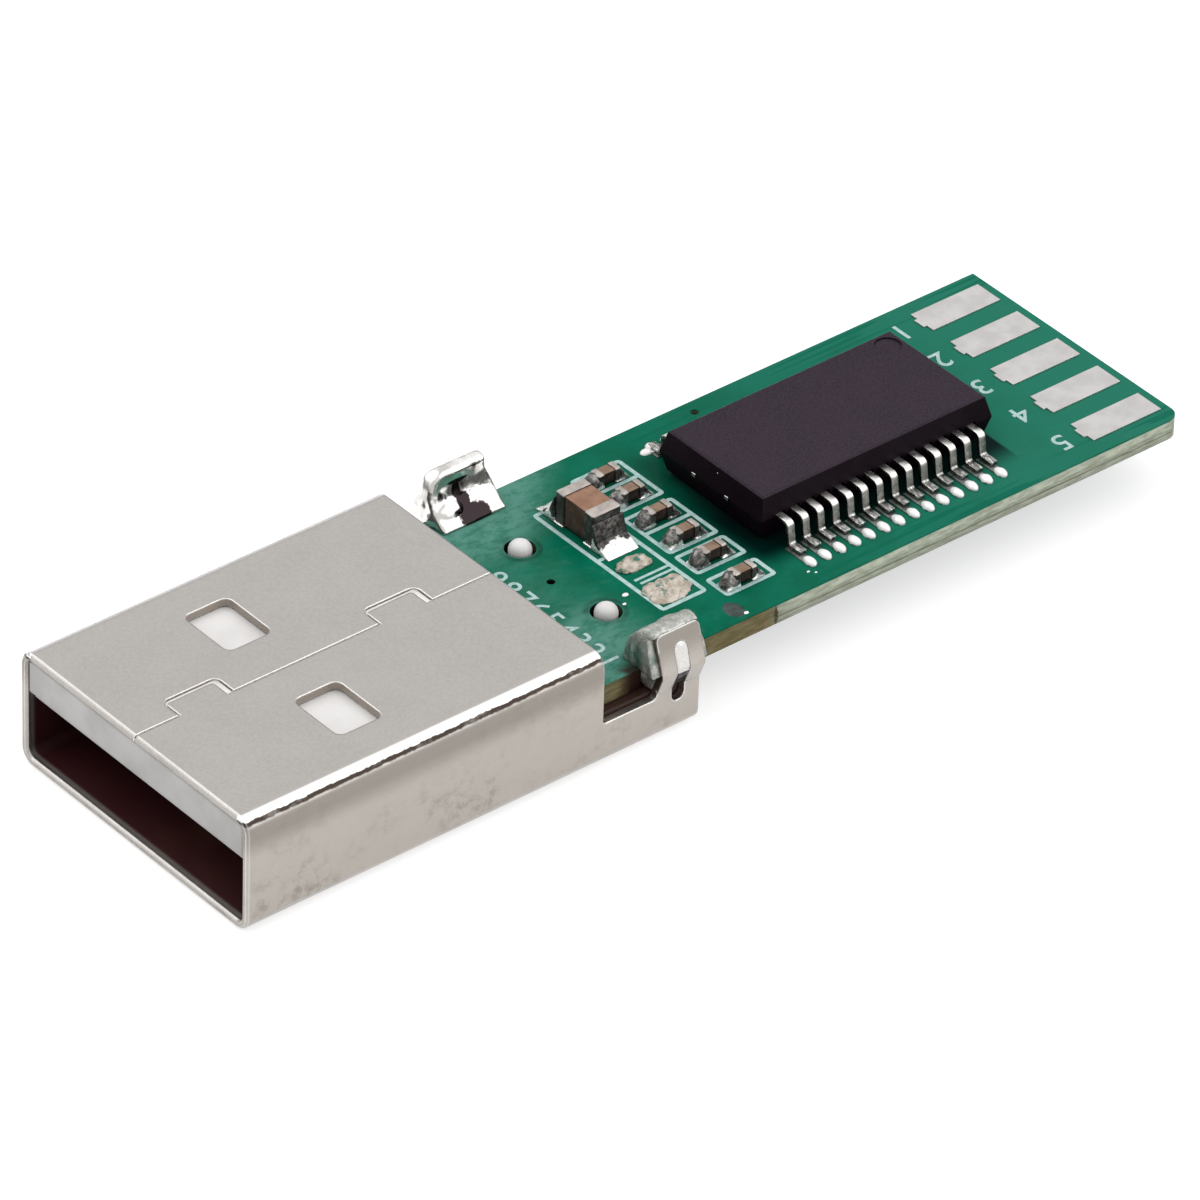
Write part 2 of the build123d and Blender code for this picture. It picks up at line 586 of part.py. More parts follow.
def chip_solder(size):
    """Solder at both ends of a chip part: a film under it and a concave fillet up each cap."""
    length, width, height, band = size
    climb = SOLDER_FILM + height * CHIP_SOLDER_SHARE
    reach = height * CHIP_SOLDER_REACH_SHARE
    hollow = (reach * CHIP_SOLDER_HOLLOW_SHARE, climb * CHIP_SOLDER_HOLLOW_SHARE)
    outline = Polyline(
        (-band, 0), (reach, 0), hollow, (0, climb), (0, SOLDER_FILM), (-band, SOLDER_FILM), close=True)
    section = Plane.XZ * make_face(outline)
    mound = Pos(length / 2, 0, 0) * extrude(section, amount=width / 2 + CHIP_SOLDER_SKIRT, both=True)
    return [mound, mirror(mound, about=Plane.YZ)]


def upside_down(piece):
    """A piece that stands on Z = 0, hung from the underside of the board instead."""
    return Pos(0, 0, BOARD_BOTTOM) * mirror(piece, about=Plane.XY)


def bridged_pad(y, length, width):
    """Low mound of solder that joins two bare pads."""
    mound = extrude(Rectangle(length, width), BRIDGED_PAD_HEIGHT)
    mound = chamfer(mound.edges().filter_by(Axis.Z), width * 0.25)
    mound = chamfer(mound.edges().group_by(Axis.Z)[-1], BRIDGED_PAD_HEIGHT * 0.8)
    return Pos(FIRST_ROW_X - BRIDGED_PAD_SETBACK, y, BOARD_TOP) * mound


def tail_solder(y, tail):
    """Solder that holds one contact's tail to the underside of the board."""
    start = FLOOR_LENGTH + TAIL_SOLDER_BEHIND_SHELL
    length = TAIL_END + TAIL_SOLDER_MARGIN * 2 - start
    width = CONTACT_WIDTH + TAIL_SOLDER_MARGIN * 2
    depth = PAD_THICKNESS + CONTACT_THICKNESS * 0.9
    mound = extrude(Rectangle(length, width), depth)
    mound = chamfer(mound.edges().filter_by(Axis.Z), TAIL_SOLDER_MARGIN)
    mound = chamfer(mound.edges().group_by(Axis.Z)[-1], depth * 0.5)
    return upside_down(Pos(start + length / 2, y, 0) * mound) - tail


def solder_side(sizes):
    """Section of a leg's solder across X, from its foot on the board up to a dome on the leg's top."""
    _, reach, rise, depth, hollow_share = sizes
    climb = LEG_TOP + rise
    outer = leg_face(LEG_TOP)
    inner_top = outer - SHEET - depth
    foot = leg_face(BOARD_TOP) - SHEET - reach
    leg_middle = leg_face(BOARD_TOP) - SHEET / 2
    hollow = (foot + hollow_share * (inner_top - foot), climb - hollow_share * (climb - BOARD_TOP))
    dome = ((outer + inner_top) / 2, climb + LEG_SOLDER_DOME)
    return Plane.YZ * make_face([
        ThreePointArc((foot, BOARD_TOP), hollow, (inner_top, climb)),
        ThreePointArc((inner_top, climb), dome, (outer, LEG_TOP)),
        Line((outer, LEG_TOP), (outer - SHEET / 2, LEG_TOP - SHEET / 2)),
        Line((outer - SHEET / 2, LEG_TOP - SHEET / 2), (leg_middle, BOARD_TOP)),
        Line((leg_middle, BOARD_TOP), (foot, BOARD_TOP)),
    ])


def solder_front(sizes):
    """Outline of a leg's solder seen along Y: a steep shoulder in front and a flare behind."""
    front = LEG_START - sizes[0]
    rear = FLOOR_LENGTH + LEG_SOLDER_REAR
    climb = LEG_TOP + sizes[2] + LEG_SOLDER_DOME
    top = climb + PAST
    shoulder = BOARD_TOP + LEG_SOLDER_SHOULDER_SHARE * (climb - BOARD_TOP)
    crown = (front + sizes[0] * 0.35, shoulder + (climb - shoulder) * 0.65)
    waist = BOARD_TOP + LEG_SOLDER_REAR_SHARE * (climb - BOARD_TOP)
    flare = 1 - LEG_SOLDER_REAR_SHARE
    low = BOARD_TOP + (1 - flare) * (waist - BOARD_TOP)
    return Plane.XZ * make_face([
        Line((rear, BOARD_TOP), (front, BOARD_TOP)),
        Line((front, BOARD_TOP), (front, shoulder)),
        ThreePointArc((front, shoulder), crown, (LEG_START, climb)),
        Line((LEG_START, climb), (LEG_START, top)),
        Line((LEG_START, top), (FLOOR_LENGTH, top)),
        Line((FLOOR_LENGTH, top), (FLOOR_LENGTH, waist)),
        ThreePointArc((FLOOR_LENGTH, waist), (rear - flare * LEG_SOLDER_REAR, low), (rear, BOARD_TOP)),
    ])


def leg_solder(sizes, slot_bottom):
    """Solder of the far leg: a mound between board and leg, the filled notch and the filled slot."""
    mound = extrude(solder_side(sizes), amount=BOARD_END)
    mound &= extrude(solder_front(sizes), amount=SHELL_WIDTH, both=True)
    notch_wall = HALF_BOARD - LEG_NOTCH_DEPTH
    leg_middle = leg_face(BOARD_TOP) - SHEET / 2
    mound += block((LEG_START, FLOOR_LENGTH), (notch_wall, leg_middle), (BOARD_BOTTOM, BOARD_TOP))
    return mound + (slot_prism(slot_bottom) & leg_strip())


def export(name, solids):
    """Move solids so that the origin is under the middle, and write them as one node."""
    shift = Pos(-BOARD_END / 2, 0, 0)
    moved = [shift * solid for solid in solids]
    piece = moved[0] if len(moved) == 1 else Compound(children=moved)
    export_step(piece, f"parts/{name}.step")


def export_plug_and_board():
    """The plug, its contacts, the board with its wire pads and the solder that joins them."""
    shell = plug_shell()
    board = circuit_board()
    export("plug_shell", [shell])
    export("plug_insulator", [plug_insulator()])
    export("circuit_board", [board])
    joints = []
    for name, (y, tip) in zip(CONTACT_NAMES, contact_places()):
        strip = contact(y, tip)
        export(name, [strip])
        joints.append(tail_solder(y, strip))
    export("contact_solder", joints)
    export("wire_pads_upper", wire_pads(UPPER_PAD_COUNT, BOARD_TOP))
    export("wire_pads_lower", wire_pads(LOWER_PAD_COUNT, BOARD_BOTTOM - PAD_THICKNESS))
    near = mirror(leg_solder(NEAR_LEG_SOLDER, BOARD_TOP - SLOT_SOLDER_BELOW_BOARD), about=Plane.XZ)
    far = leg_solder(FAR_LEG_SOLDER, SLOT_BOTTOM)
    export("leg_solder_near", [near - shell - board])
    export("leg_solder_far", [far - shell - board])


def export_chips():
    """The transceiver on the upper side, the bridge on the underside and their solder."""
    place = Pos(CHIP_X, CHIP_Y, 0)
    leads = transceiver_leads()
    export("transceiver_body", [place * transceiver_body(leads)])
    export("transceiver_leads", [place * lead for lead in leads])
    far = lead_solder(chip_lead(), LEAD_PAD_TOE - LEAD_PAD_SHIFT)
    near = mirror(lead_solder(chip_lead(), LEAD_PAD_TOE + LEAD_PAD_SHIFT), about=Plane.XZ)
    mounds = [Pos(x, 0, 0) * side for x in lead_offsets() for side in (far, near)]
    export("transceiver_solder", [place * piece for piece in mounds])
    place = Pos(BRIDGE_X, 0, 0)
    terminals = bridge_terminals()
    export("bridge_body", [place * bridge_body(terminals)])
    export("bridge_terminals", [place * piece for piece in terminals])
    export("bridge_solder", [place * piece for piece in bridge_solder()])


def export_chip_parts():
    """Every capacitor and the bead, each as a ceramic body and its caps, and their solder."""
    upper = [("bulk_capacitor", LARGE_CHIP, FIRST_ROW_X, LARGE_CHIP_Y, 90)]
    for index, y in enumerate(SMALL_CHIP_YS, start=1):
        upper.append((f"small_capacitor_{index}", SMALL_CHIP, SECOND_ROW_X, y, 0))
    lower = [
        ("supply_capacitor", MEDIUM_CHIP, SUPPLY_X, 0, 90),
        ("supply_bead", MEDIUM_CHIP, SUPPLY_X, BEAD_Y, 90),
    ]
    for index, y in enumerate((BRIDGE_CAPACITOR_Y, -BRIDGE_CAPACITOR_Y), start=1):
        lower.append((f"bridge_capacitor_{index}", SMALL_CHIP, BRIDGE_X + BRIDGE_CAPACITOR_REACH, y, 0))
    for side, places in (("upper", upper), ("lower", lower)):
        solder = []
        for name, size, x, y, turn in places:
            body, caps = chip_part(size)
            seat = Pos(0, 0, SOLDER_FILM)
            pieces = [seat * body] + [seat * cap for cap in caps] + chip_solder(size)
            pieces = [Rot(0, 0, turn) * piece for piece in pieces]
            if side == "upper":
                pieces = [Pos(0, 0, BOARD_TOP) * piece for piece in pieces]
            else:
                pieces = [upside_down(piece) for piece in pieces]
            pieces = [Pos(x, y, 0) * piece for piece in pieces]
            export(f"{name}_body", pieces[:1])
            export(f"{name}_caps", pieces[1:3])
            solder += pieces[3:]
        export(f"chip_part_solder_{side}", solder)
    export("bridged_pads", [bridged_pad(*pad) for pad in BRIDGED_PADS])


def main():
    """Build every piece and write its file."""
    os.makedirs("parts", exist_ok=True)
    export_plug_and_board()
    export_chips()
    export_chip_parts()


main()
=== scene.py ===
"""Dressed scene of a plug-in serial adapter module.

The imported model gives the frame: a folded sheet-metal plug on a narrow circuit board with two
chips, their capacitors and bare pads for the wires of a cable. This script adds what solids
don't carry: molten solder, rounded edges, formed leads, the print on the board, the finishes,
the light and the camera. Lengths are in metres; sizes written in millimetres are times MM.
"""

import logging
import math
from dataclasses import dataclass
from enum import Enum
from typing import Callable, Sequence

import bmesh
import bpy
from mathutils import Matrix, Vector


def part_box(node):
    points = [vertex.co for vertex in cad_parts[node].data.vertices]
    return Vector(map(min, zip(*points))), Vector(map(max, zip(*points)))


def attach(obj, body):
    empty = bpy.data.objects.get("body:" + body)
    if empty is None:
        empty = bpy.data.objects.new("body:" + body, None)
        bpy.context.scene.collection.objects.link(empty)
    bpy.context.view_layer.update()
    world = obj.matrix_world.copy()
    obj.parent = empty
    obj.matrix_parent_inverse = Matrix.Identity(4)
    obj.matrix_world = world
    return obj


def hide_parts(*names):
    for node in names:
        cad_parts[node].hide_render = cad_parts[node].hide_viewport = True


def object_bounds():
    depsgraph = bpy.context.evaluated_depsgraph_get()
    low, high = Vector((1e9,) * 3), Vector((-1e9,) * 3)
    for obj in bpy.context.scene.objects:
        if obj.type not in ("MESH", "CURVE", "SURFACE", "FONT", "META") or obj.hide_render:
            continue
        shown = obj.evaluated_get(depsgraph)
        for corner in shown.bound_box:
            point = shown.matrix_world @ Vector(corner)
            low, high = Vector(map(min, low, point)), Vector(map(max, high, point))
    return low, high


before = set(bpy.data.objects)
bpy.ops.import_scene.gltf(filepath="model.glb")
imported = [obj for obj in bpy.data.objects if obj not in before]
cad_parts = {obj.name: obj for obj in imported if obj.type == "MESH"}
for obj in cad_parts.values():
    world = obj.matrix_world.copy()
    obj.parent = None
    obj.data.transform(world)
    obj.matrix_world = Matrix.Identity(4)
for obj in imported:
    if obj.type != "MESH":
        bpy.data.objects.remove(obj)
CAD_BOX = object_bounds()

LOG = logging.getLogger("adapter")
MM = 0.001
ROOT = "root"
MOUTH_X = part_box("plug_shell")[0].x
BOARD_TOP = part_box("wire_pads_upper")[0].z
CHIP_LOW, CHIP_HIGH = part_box("transceiver_body")
CHIP_MIDDLE = (CHIP_LOW + CHIP_HIGH) / 2
LEADS_PER_SIDE = 14
LEAD_PITCH = 0.65
SMALL_CAPACITORS = tuple(f"small_capacitor_{index}" for index in range(1, 7))
SHELL_HALF = 6.0 * MM
ROOF_LENGTH = 14.75 * MM
PEG_MIDDLE = Vector((MOUTH_X + 17.95 * MM, 2.25 * MM, BOARD_TOP))
TONGUE_LEVEL = (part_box("outer_contact_near")[1].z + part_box("plug_shell")[1].z) / 2

# Beads of solder that fill the legs' joints out, in millimetres: each one's place behind the mouth,
# across the board and up, then its half sizes along the same axes.
FAR_LEG_BEADS = (
    (17.05, 5.55, 3.38, 0.72, 0.42, 0.80),
    (17.05, 5.12, 2.95, 0.78, 0.46, 0.50),
    (18.30, 4.95, 2.75, 0.75, 0.45, 0.22),
)
NEAR_LEG_BEADS = (
    (17.45, -5.10, 2.85, 0.70, 0.58, 1.00),
    (18.10, -5.20, 3.55, 0.85, 0.38, 0.62),
    (17.20, -4.75, 2.80, 0.50, 0.45, 0.35),
)

# Thin puddles at the two bridged places, given as the beads are.
BRIDGE_BEADS = (
    (20.38, -0.72, 2.76, 0.66, 0.40, 0.10),
    (20.22, -2.80, 2.76, 0.74, 0.44, 0.11),
)

# A leg's solder is tucked in under the kink: beyond this reach from the board's middle line and below
# this height it moves inwards by the third number, all in millimetres.
LEG_TUCK = (6.05, 2.3, 0.25)


class Axis(Enum):
    """Axis of the row frame, by its index in a vector."""

    X = 0
    Y = 1
    Z = 2


class Element(Enum):
    """Kind of mesh element, by the operators' word for it."""

    VERTEX = "VERT"
    EDGE = "EDGE"
    FACE = "FACE"


class Look(Enum):
    """Finish of a piece, by the name of its material."""

    SATIN_NICKEL = "satin_nickel"
    SEAM_HIGHLIGHT = "seam_bright"
    WHITE_MOULDING = "white_moulding"
    GREEN_MASK = "green_mask"
    PRINT_INK = "print_ink"
    CHIP_MOULD = "chip_mould"
    TIN_PLATE = "tin_plate"
    FROZEN_DROP = "frozen_drop"
    LEAD_FILM = "lead_film"
    MIRROR_SOLDER = "mirror_solder"
    FLUX_HUMP = "flux_hump"
    DULL_SOLDER = "dull_solder"
    WET_FILLET = "wet_fillet"
    FLUX_SOLDER = "flux_solder"
    TAN_CERAMIC = "tan_ceramic"
    BROWN_CERAMIC = "brown_ceramic"
    DARK_FERRITE = "dark_ferrite"
    FIRED_CAP = "fired_cap"
    BARE_PAD = "bare_pad"
    GOLD_CONTACT = "gold_contact"
    DARK_SMEAR = "dark_smear"


def spot(x: float, y: float, z: float) -> Vector:
    """Point in the row frame from millimetres behind the mouth, across the board and up."""
    return Vector((MOUTH_X + x * MM, y * MM, z * MM))


# ---------------------------------------------------------------- modelling by operators


def select_only(*objects: bpy.types.Object) -> None:
    """Make these objects the whole selection, the first of them active.

    Args:
        *objects: Objects to select; the first becomes active.
    """
    if bpy.context.object and bpy.context.object.mode != "OBJECT":
        bpy.ops.object.mode_set(mode="OBJECT")
    bpy.ops.object.select_all(action="DESELECT")
    for obj in objects:
        obj.select_set(True)
    bpy.context.view_layer.objects.active = objects[0]


def settle(obj: bpy.types.Object) -> bpy.types.Object:
    """Put an object's place, turn and scale into its mesh, so that it sits at the origin.

    Args:
        obj: Object whose transform is applied.

    Returns:
        The same object.
    """
    select_only(obj)
    bpy.ops.object.transform_apply(location=True, rotation=True, scale=True)
    return obj


def named(name: str) -> bpy.types.Object:
    """Name the active object and its mesh.

    Args:
        name: Name for both.

    Returns:
        The active object.
    """
    obj = bpy.context.object
    obj.name = name
    obj.data.name = name
    return obj


def new_box(name: str, low: Sequence[float], high: Sequence[float]) -> bpy.types.Object:
    """Add a box primitive between two corners.

    Args:
        name: Name of the new object.
        low: Lowest corner in the row frame.
        high: Highest corner in the row frame.

    Returns:
        The box, with its place in its mesh.
    """
    middle = [(a + b) / 2 for a, b in zip(low, high)]
    bpy.ops.mesh.primitive_cube_add(size=1, location=middle)
    obj = named(name)
    obj.scale = [b - a for a, b in zip(low, high)]
    return settle(obj)


def new_ball(name: str, middle: Sequence[float], radius: float, scale: Sequence[float], segments: int,
             rings: int) -> bpy.types.Object:
    """Add a sphere primitive that is stretched along the axes.

    Args:
        name: Name of the new object.
        middle: Its middle in the row frame.
        radius: Radius before it is stretched.
        scale: Stretch along each axis.
        segments: Faces round it.
        rings: Faces from pole to pole.

    Returns:
        The ball, with its place in its mesh.
    """
    bpy.ops.mesh.primitive_uv_sphere_add(segments=segments, ring_count=rings, radius=radius, location=middle)
    obj = named(name)
    obj.scale = scale
    return settle(obj)


def pick(obj: bpy.types.Object, kind: Element, wanted: Callable[[object], bool]) -> int:
    """Select the vertices, edges or faces that a test accepts, in edit mode.

    Args:
        obj: Mesh object to select in.
        kind: Kind of element to select.
        wanted: Test that gets each element of the mesh.

    Returns:
        How many elements are selected.
    """
    select_only(obj)
    bpy.ops.object.mode_set(mode="EDIT")
    bpy.ops.mesh.select_mode(type=kind.value)
    bpy.ops.mesh.select_all(action="DESELECT")
    mesh = bmesh.from_edit_mesh(obj.data)
    elements = {Element.VERTEX: mesh.verts, Element.EDGE: mesh.edges, Element.FACE: mesh.faces}[kind]
    picked = [element for element in elements if wanted(element)]
    for element in picked:
        element.select_set(True)
    bmesh.update_edit_mesh(obj.data)
    return len(picked)


def leave_edit(obj: bpy.types.Object) -> None:
    """Go back to object mode with this object active."""
    bpy.context.view_layer.objects.active = obj
    bpy.ops.object.mode_set(mode="OBJECT")


def cut_below(obj: bpy.types.Object, level: float) -> None:
    """Delete the vertices that lie below a level.

    Args:
        obj: Mesh object to cut.
        level: Height in the row frame.
    """
    pick(obj, Element.VERTEX, lambda v: v.co.z < level)
    bpy.ops.mesh.delete(type="VERT")
    leave_edit(obj)


def modify(obj: bpy.types.Object, kind: str, **settings: object) -> None:
    """Add a modifier, set it and apply it.

    Args:
        obj: Mesh object that is changed.
        kind: Type of the modifier.
        **settings: Properties of the modifier by name.
    """
    select_only(obj)
    modifier = obj.modifiers.new(kind.title(), kind)
    for key, value in settings.items():
        setattr(modifier, key, value)
    bpy.ops.object.modifier_apply(modifier=modifier.name)


def shade(obj: bpy.types.Object, degrees: float = 40.0) -> bpy.types.Object:
    """Shade smooth across edges flatter than an angle.

    Args:
        obj: Mesh object to shade.
        degrees: Largest angle that is shaded smooth.

    Returns:
        The same object.
    """
    select_only(obj)
    bpy.ops.object.shade_smooth_by_angle(angle=math.radians(degrees))
    return obj


def trim(obj: bpy.types.Object, inset: float = 0.001 * MM) -> bpy.types.Object:
    """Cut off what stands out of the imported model's box, less a small inset.

    Args:
        obj: Mesh object to cut.
        inset: Distance of the cut inside the box, in metres.

    Returns:
        The same object.
    """
    for side, corner in ((-1.0, CAD_BOX[0]), (1.0, CAD_BOX[1])):
        for axis in Axis:
            limit = side * corner[axis.value] - inset
            if max(side * vertex.co[axis.value] for vertex in obj.data.vertices) <= limit:
                continue
            normal = Vector((0.0, 0.0, 0.0))
            normal[axis.value] = side
            pick(obj, Element.FACE, lambda f: True)
            bpy.ops.mesh.bisect(plane_co=normal * limit, plane_no=normal, clear_outer=True, use_fill=True,
                                threshold=1e-8)
            leave_edit(obj)
    return obj


def copy_node(node: str, name: str) -> bpy.types.Object:
    """Copy a CAD node's mesh into a new object, with its loose triangles merged.

    Args:
        node: Name of the CAD node.
        name: Name of the new object.

    Returns:
        The copy, which isn't parented to anything yet.
    """
    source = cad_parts[node]
    obj = bpy.data.objects.new(name, source.data.copy())
    obj.data.name = name
    obj.data.materials.clear()
    bpy.context.scene.collection.objects.link(obj)
    select_only(obj)
    bpy.ops.object.mode_set(mode="EDIT")
    bpy.ops.mesh.select_all(action="SELECT")
    bpy.ops.mesh.remove_doubles(threshold=0.0005 * MM)
    bpy.ops.object.mode_set(mode="OBJECT")
    return obj


def join(name: str, objects: Sequence[bpy.types.Object]) -> bpy.types.Object:
    """Join mesh objects into one under a new name.

    Args:
        name: Name of the joined object.
        objects: Objects to join; the first takes in the others.

    Returns:
        The joined object.
    """
    select_only(*objects)
    bpy.ops.object.join()
    return named(name)


def duplicate(obj: bpy.types.Object, matrix: Matrix) -> bpy.types.Object:
    """Copy an object with its own mesh, moved by a matrix that goes into the mesh.

    Args:
        obj: Object to copy.
        matrix: Place and turn of the copy.

    Returns:
        The copy.
    """
    twin = bpy.data.objects.new(obj.name, obj.data.copy())
    bpy.context.scene.collection.objects.link(twin)
    twin.data.transform(matrix)
    if matrix.determinant() < 0:
        twin.data.flip_normals()
    return twin


def ripple_texture(size: float, depth: int = 2) -> bpy.types.Texture:
    """Soft cloud texture that a Displace modifier reads.

    Args:
        size: Size of the clouds in metres.
        depth: Layers of finer clouds.

    Returns:
        The texture.
    """
    texture = bpy.data.textures.new("ripple", "CLOUDS")
    texture.noise_scale = size
    texture.noise_depth = depth
    return texture


# ---------------------------------------------------------------- shader building


class Shader:
    """Thin typed wrapper round a node tree, for building finishes in a few readable lines."""

    def __init__(self, tree: bpy.types.NodeTree) -> None:
        """Keep the tree that the nodes go into."""
        self.tree = tree

    def node(self, kind: str, **settings: object) -> bpy.types.Node:
        """Add a node of a kind and set its properties.

        Args:
            kind: Type of the node.
            **settings: Properties of the node by name.

        Returns:
            The node.
        """
        node = self.tree.nodes.new(kind)
        for key, value in settings.items():
            setattr(node, key, value)
        return node

    def feed(self, target: bpy.types.NodeSocket, value: object) -> None:
        """Link a socket into another, or set its constant.

        Args:
            target: Socket that receives.
            value: Socket, number or colour to give it.
        """
        if isinstance(value, bpy.types.NodeSocket):
            self.tree.links.new(value, target)
        elif isinstance(value, (tuple, list)) and len(value) == 3 and target.type == "RGBA":
            target.default_value = (*value, 1.0)
        else:
            target.default_value = value

    def coordinates(self, scale: Sequence[float] = (1.0, 1.0, 1.0)) -> bpy.types.NodeSocket:
        """Object coordinates in millimetres, stretched by a scale.

        Args:
            scale: Stretch along each axis.

        Returns:
            Socket with the stretched place.
        """
        place = self.node("ShaderNodeTexCoord").outputs["Object"]
        mapping = self.node("ShaderNodeMapping")
        self.feed(mapping.inputs["Vector"], place)
        mapping.inputs["Scale"].default_value = [1000.0 * s for s in scale]
        return mapping.outputs["Vector"]

    def noise(self, vector: bpy.types.NodeSocket, scale: float, detail: float = 3.0,
              roughness: float = 0.5) -> bpy.types.NodeSocket:
        """Noise value with this many features per millimetre.

        Args:
            vector: Place at which the noise is read.
            scale: Features per millimetre.
            detail: Layers of finer noise.
            roughness: Weight of the finer layers.

        Returns:
            Socket with a value from 0 to 1.
        """
        node = self.node("ShaderNodeTexNoise")
        self.feed(node.inputs["Vector"], vector)
        node.inputs["Scale"].default_value = scale
        node.inputs["Detail"].default_value = detail
        node.inputs["Roughness"].default_value = roughness
        return node.outputs["Fac"]

    def remap(self, value: object, low: float, high: float, to_low: float = 0.0,
              to_high: float = 1.0) -> bpy.types.NodeSocket:
        """Clamp and rescale a value from one range to another.

        Args:
            value: Socket or number to rescale.
            low: Start of its range.
            high: End of its range.
            to_low: Result at the start.
            to_high: Result at the end.

        Returns:
            Socket with the rescaled value.
        """
        node = self.node("ShaderNodeMapRange", interpolation_type="SMOOTHSTEP")
        self.feed(node.inputs["Value"], value)
        for socket, number in zip(("From Min", "From Max", "To Min", "To Max"), (low, high, to_low, to_high)):
            node.inputs[socket].default_value = number
        return node.outputs["Result"]

    def math(self, operation: str, *values: object) -> bpy.types.NodeSocket:
        """Arithmetic on values.

        Args:
            operation: Type of the arithmetic.
            *values: Sockets or numbers it works on.

        Returns:
            Socket with the result.
        """
        node = self.node("ShaderNodeMath", operation=operation)
        for socket, value in zip(node.inputs, values):
            self.feed(socket, value)
        return node.outputs["Value"]

    def length(self, first: object, second: object) -> bpy.types.NodeSocket:
        """Length of the slope over two square legs.

        Args:
            first: One leg.
            second: The other leg.

        Returns:
            Socket with the square root of the sum of their squares.
        """
        squares = [self.math("MULTIPLY", leg, leg) for leg in (first, second)]
        return self.math("SQRT", self.math("ADD", *squares))

    def mix(self, factor: object, first: object, second: object) -> bpy.types.NodeSocket:
        """Blend two colours by a mask.

        Args:
            factor: Mask: 0 gives the first colour, 1 the second.
            first: First colour.
            second: Second colour.

        Returns:
            Socket with the blended colour.
        """
        node = self.node("ShaderNodeMix", data_type="RGBA")
        self.feed(node.inputs["Factor"], factor)
        self.feed(node.inputs[6], first)
        self.feed(node.inputs[7], second)
        return node.outputs[2]

    def split(self, vector: bpy.types.NodeSocket) -> tuple:
        """X, Y and Z of a vector.

        Args:
            vector: Socket with a vector.

        Returns:
            Its three sockets.
        """
        node = self.node("ShaderNodeSeparateXYZ")
        self.feed(node.inputs["Vector"], vector)
        return tuple(node.outputs)

    def object_normal(self, axis: Axis) -> bpy.types.NodeSocket:
        """One part of the surface's normal in the row frame."""
        return self.split(self.node("ShaderNodeTexCoord").outputs["Normal"])[axis.value]

    def group(self, tree: bpy.types.NodeTree, **values: object) -> bpy.types.Node:
        """Place a node group and set its inputs; an underscore in a name stands for a space.

        Args:
            tree: Node group to place.
            **values: Inputs of the group by name.

        Returns:
            The placed group.
        """
        node = self.node("ShaderNodeGroup", node_tree=tree)
        for key, value in values.items():
            self.feed(node.inputs[key.replace("_", " ")], value)
        return node


def open_group(name: str, inputs: dict, outputs: dict) -> tuple:
    """Start a shader node group.

    Args:
        name: Name of the group.
        inputs: Socket names with their default values.
        outputs: Socket names with their socket types.

    Returns:
        The wrapped tree, its input node and its output node.
    """
    tree = bpy.data.node_groups.new(name, "ShaderNodeTree")
    for key, default in inputs.items():
        kind = "NodeSocketFloat" if isinstance(default, float) else "NodeSocketColor"
        socket = tree.interface.new_socket(name=key, in_out="INPUT", socket_type=kind)
        socket.default_value = default if isinstance(default, float) else (*default, 1.0)
    for key, kind in outputs.items():
        tree.interface.new_socket(name=key, in_out="OUTPUT", socket_type=kind)
    shader = Shader(tree)
    return shader, shader.node("NodeGroupInput"), shader.node("NodeGroupOutput")


def grain_group() -> bpy.types.NodeTree:
    """Fine surface grain over slow mottling, as a height and a mask.

    Returns:
        The node group.
    """
    s, enter, leave = open_group(
        "surface_grain",
        {"Grain Scale": 8.0, "Mottle Scale": 1.0, "Mottle Share": 0.5},
        {"Height": "NodeSocketFloat", "Mottle": "NodeSocketFloat"},
    )
    place = s.coordinates()
    fine = s.node("ShaderNodeTexNoise")
    s.feed(fine.inputs["Vector"], place)
    s.feed(fine.inputs["Scale"], enter.outputs["Grain Scale"])
    slow = s.node("ShaderNodeTexNoise")
    s.feed(slow.inputs["Vector"], place)
    s.feed(slow.inputs["Scale"], enter.outputs["Mottle Scale"])
    slow.inputs["Detail"].default_value = 5.0
    mixed = s.node("ShaderNodeMix", data_type="FLOAT")
    s.feed(mixed.inputs["Factor"], enter.outputs["Mottle Share"])
    s.feed(mixed.inputs[2], fine.outputs["Fac"])
    s.feed(mixed.inputs[3], slow.outputs["Fac"])
    s.feed(leave.inputs["Height"], mixed.outputs[0])
    s.feed(leave.inputs["Mottle"], s.remap(slow.outputs["Fac"], 0.35, 0.65))
    return s.tree


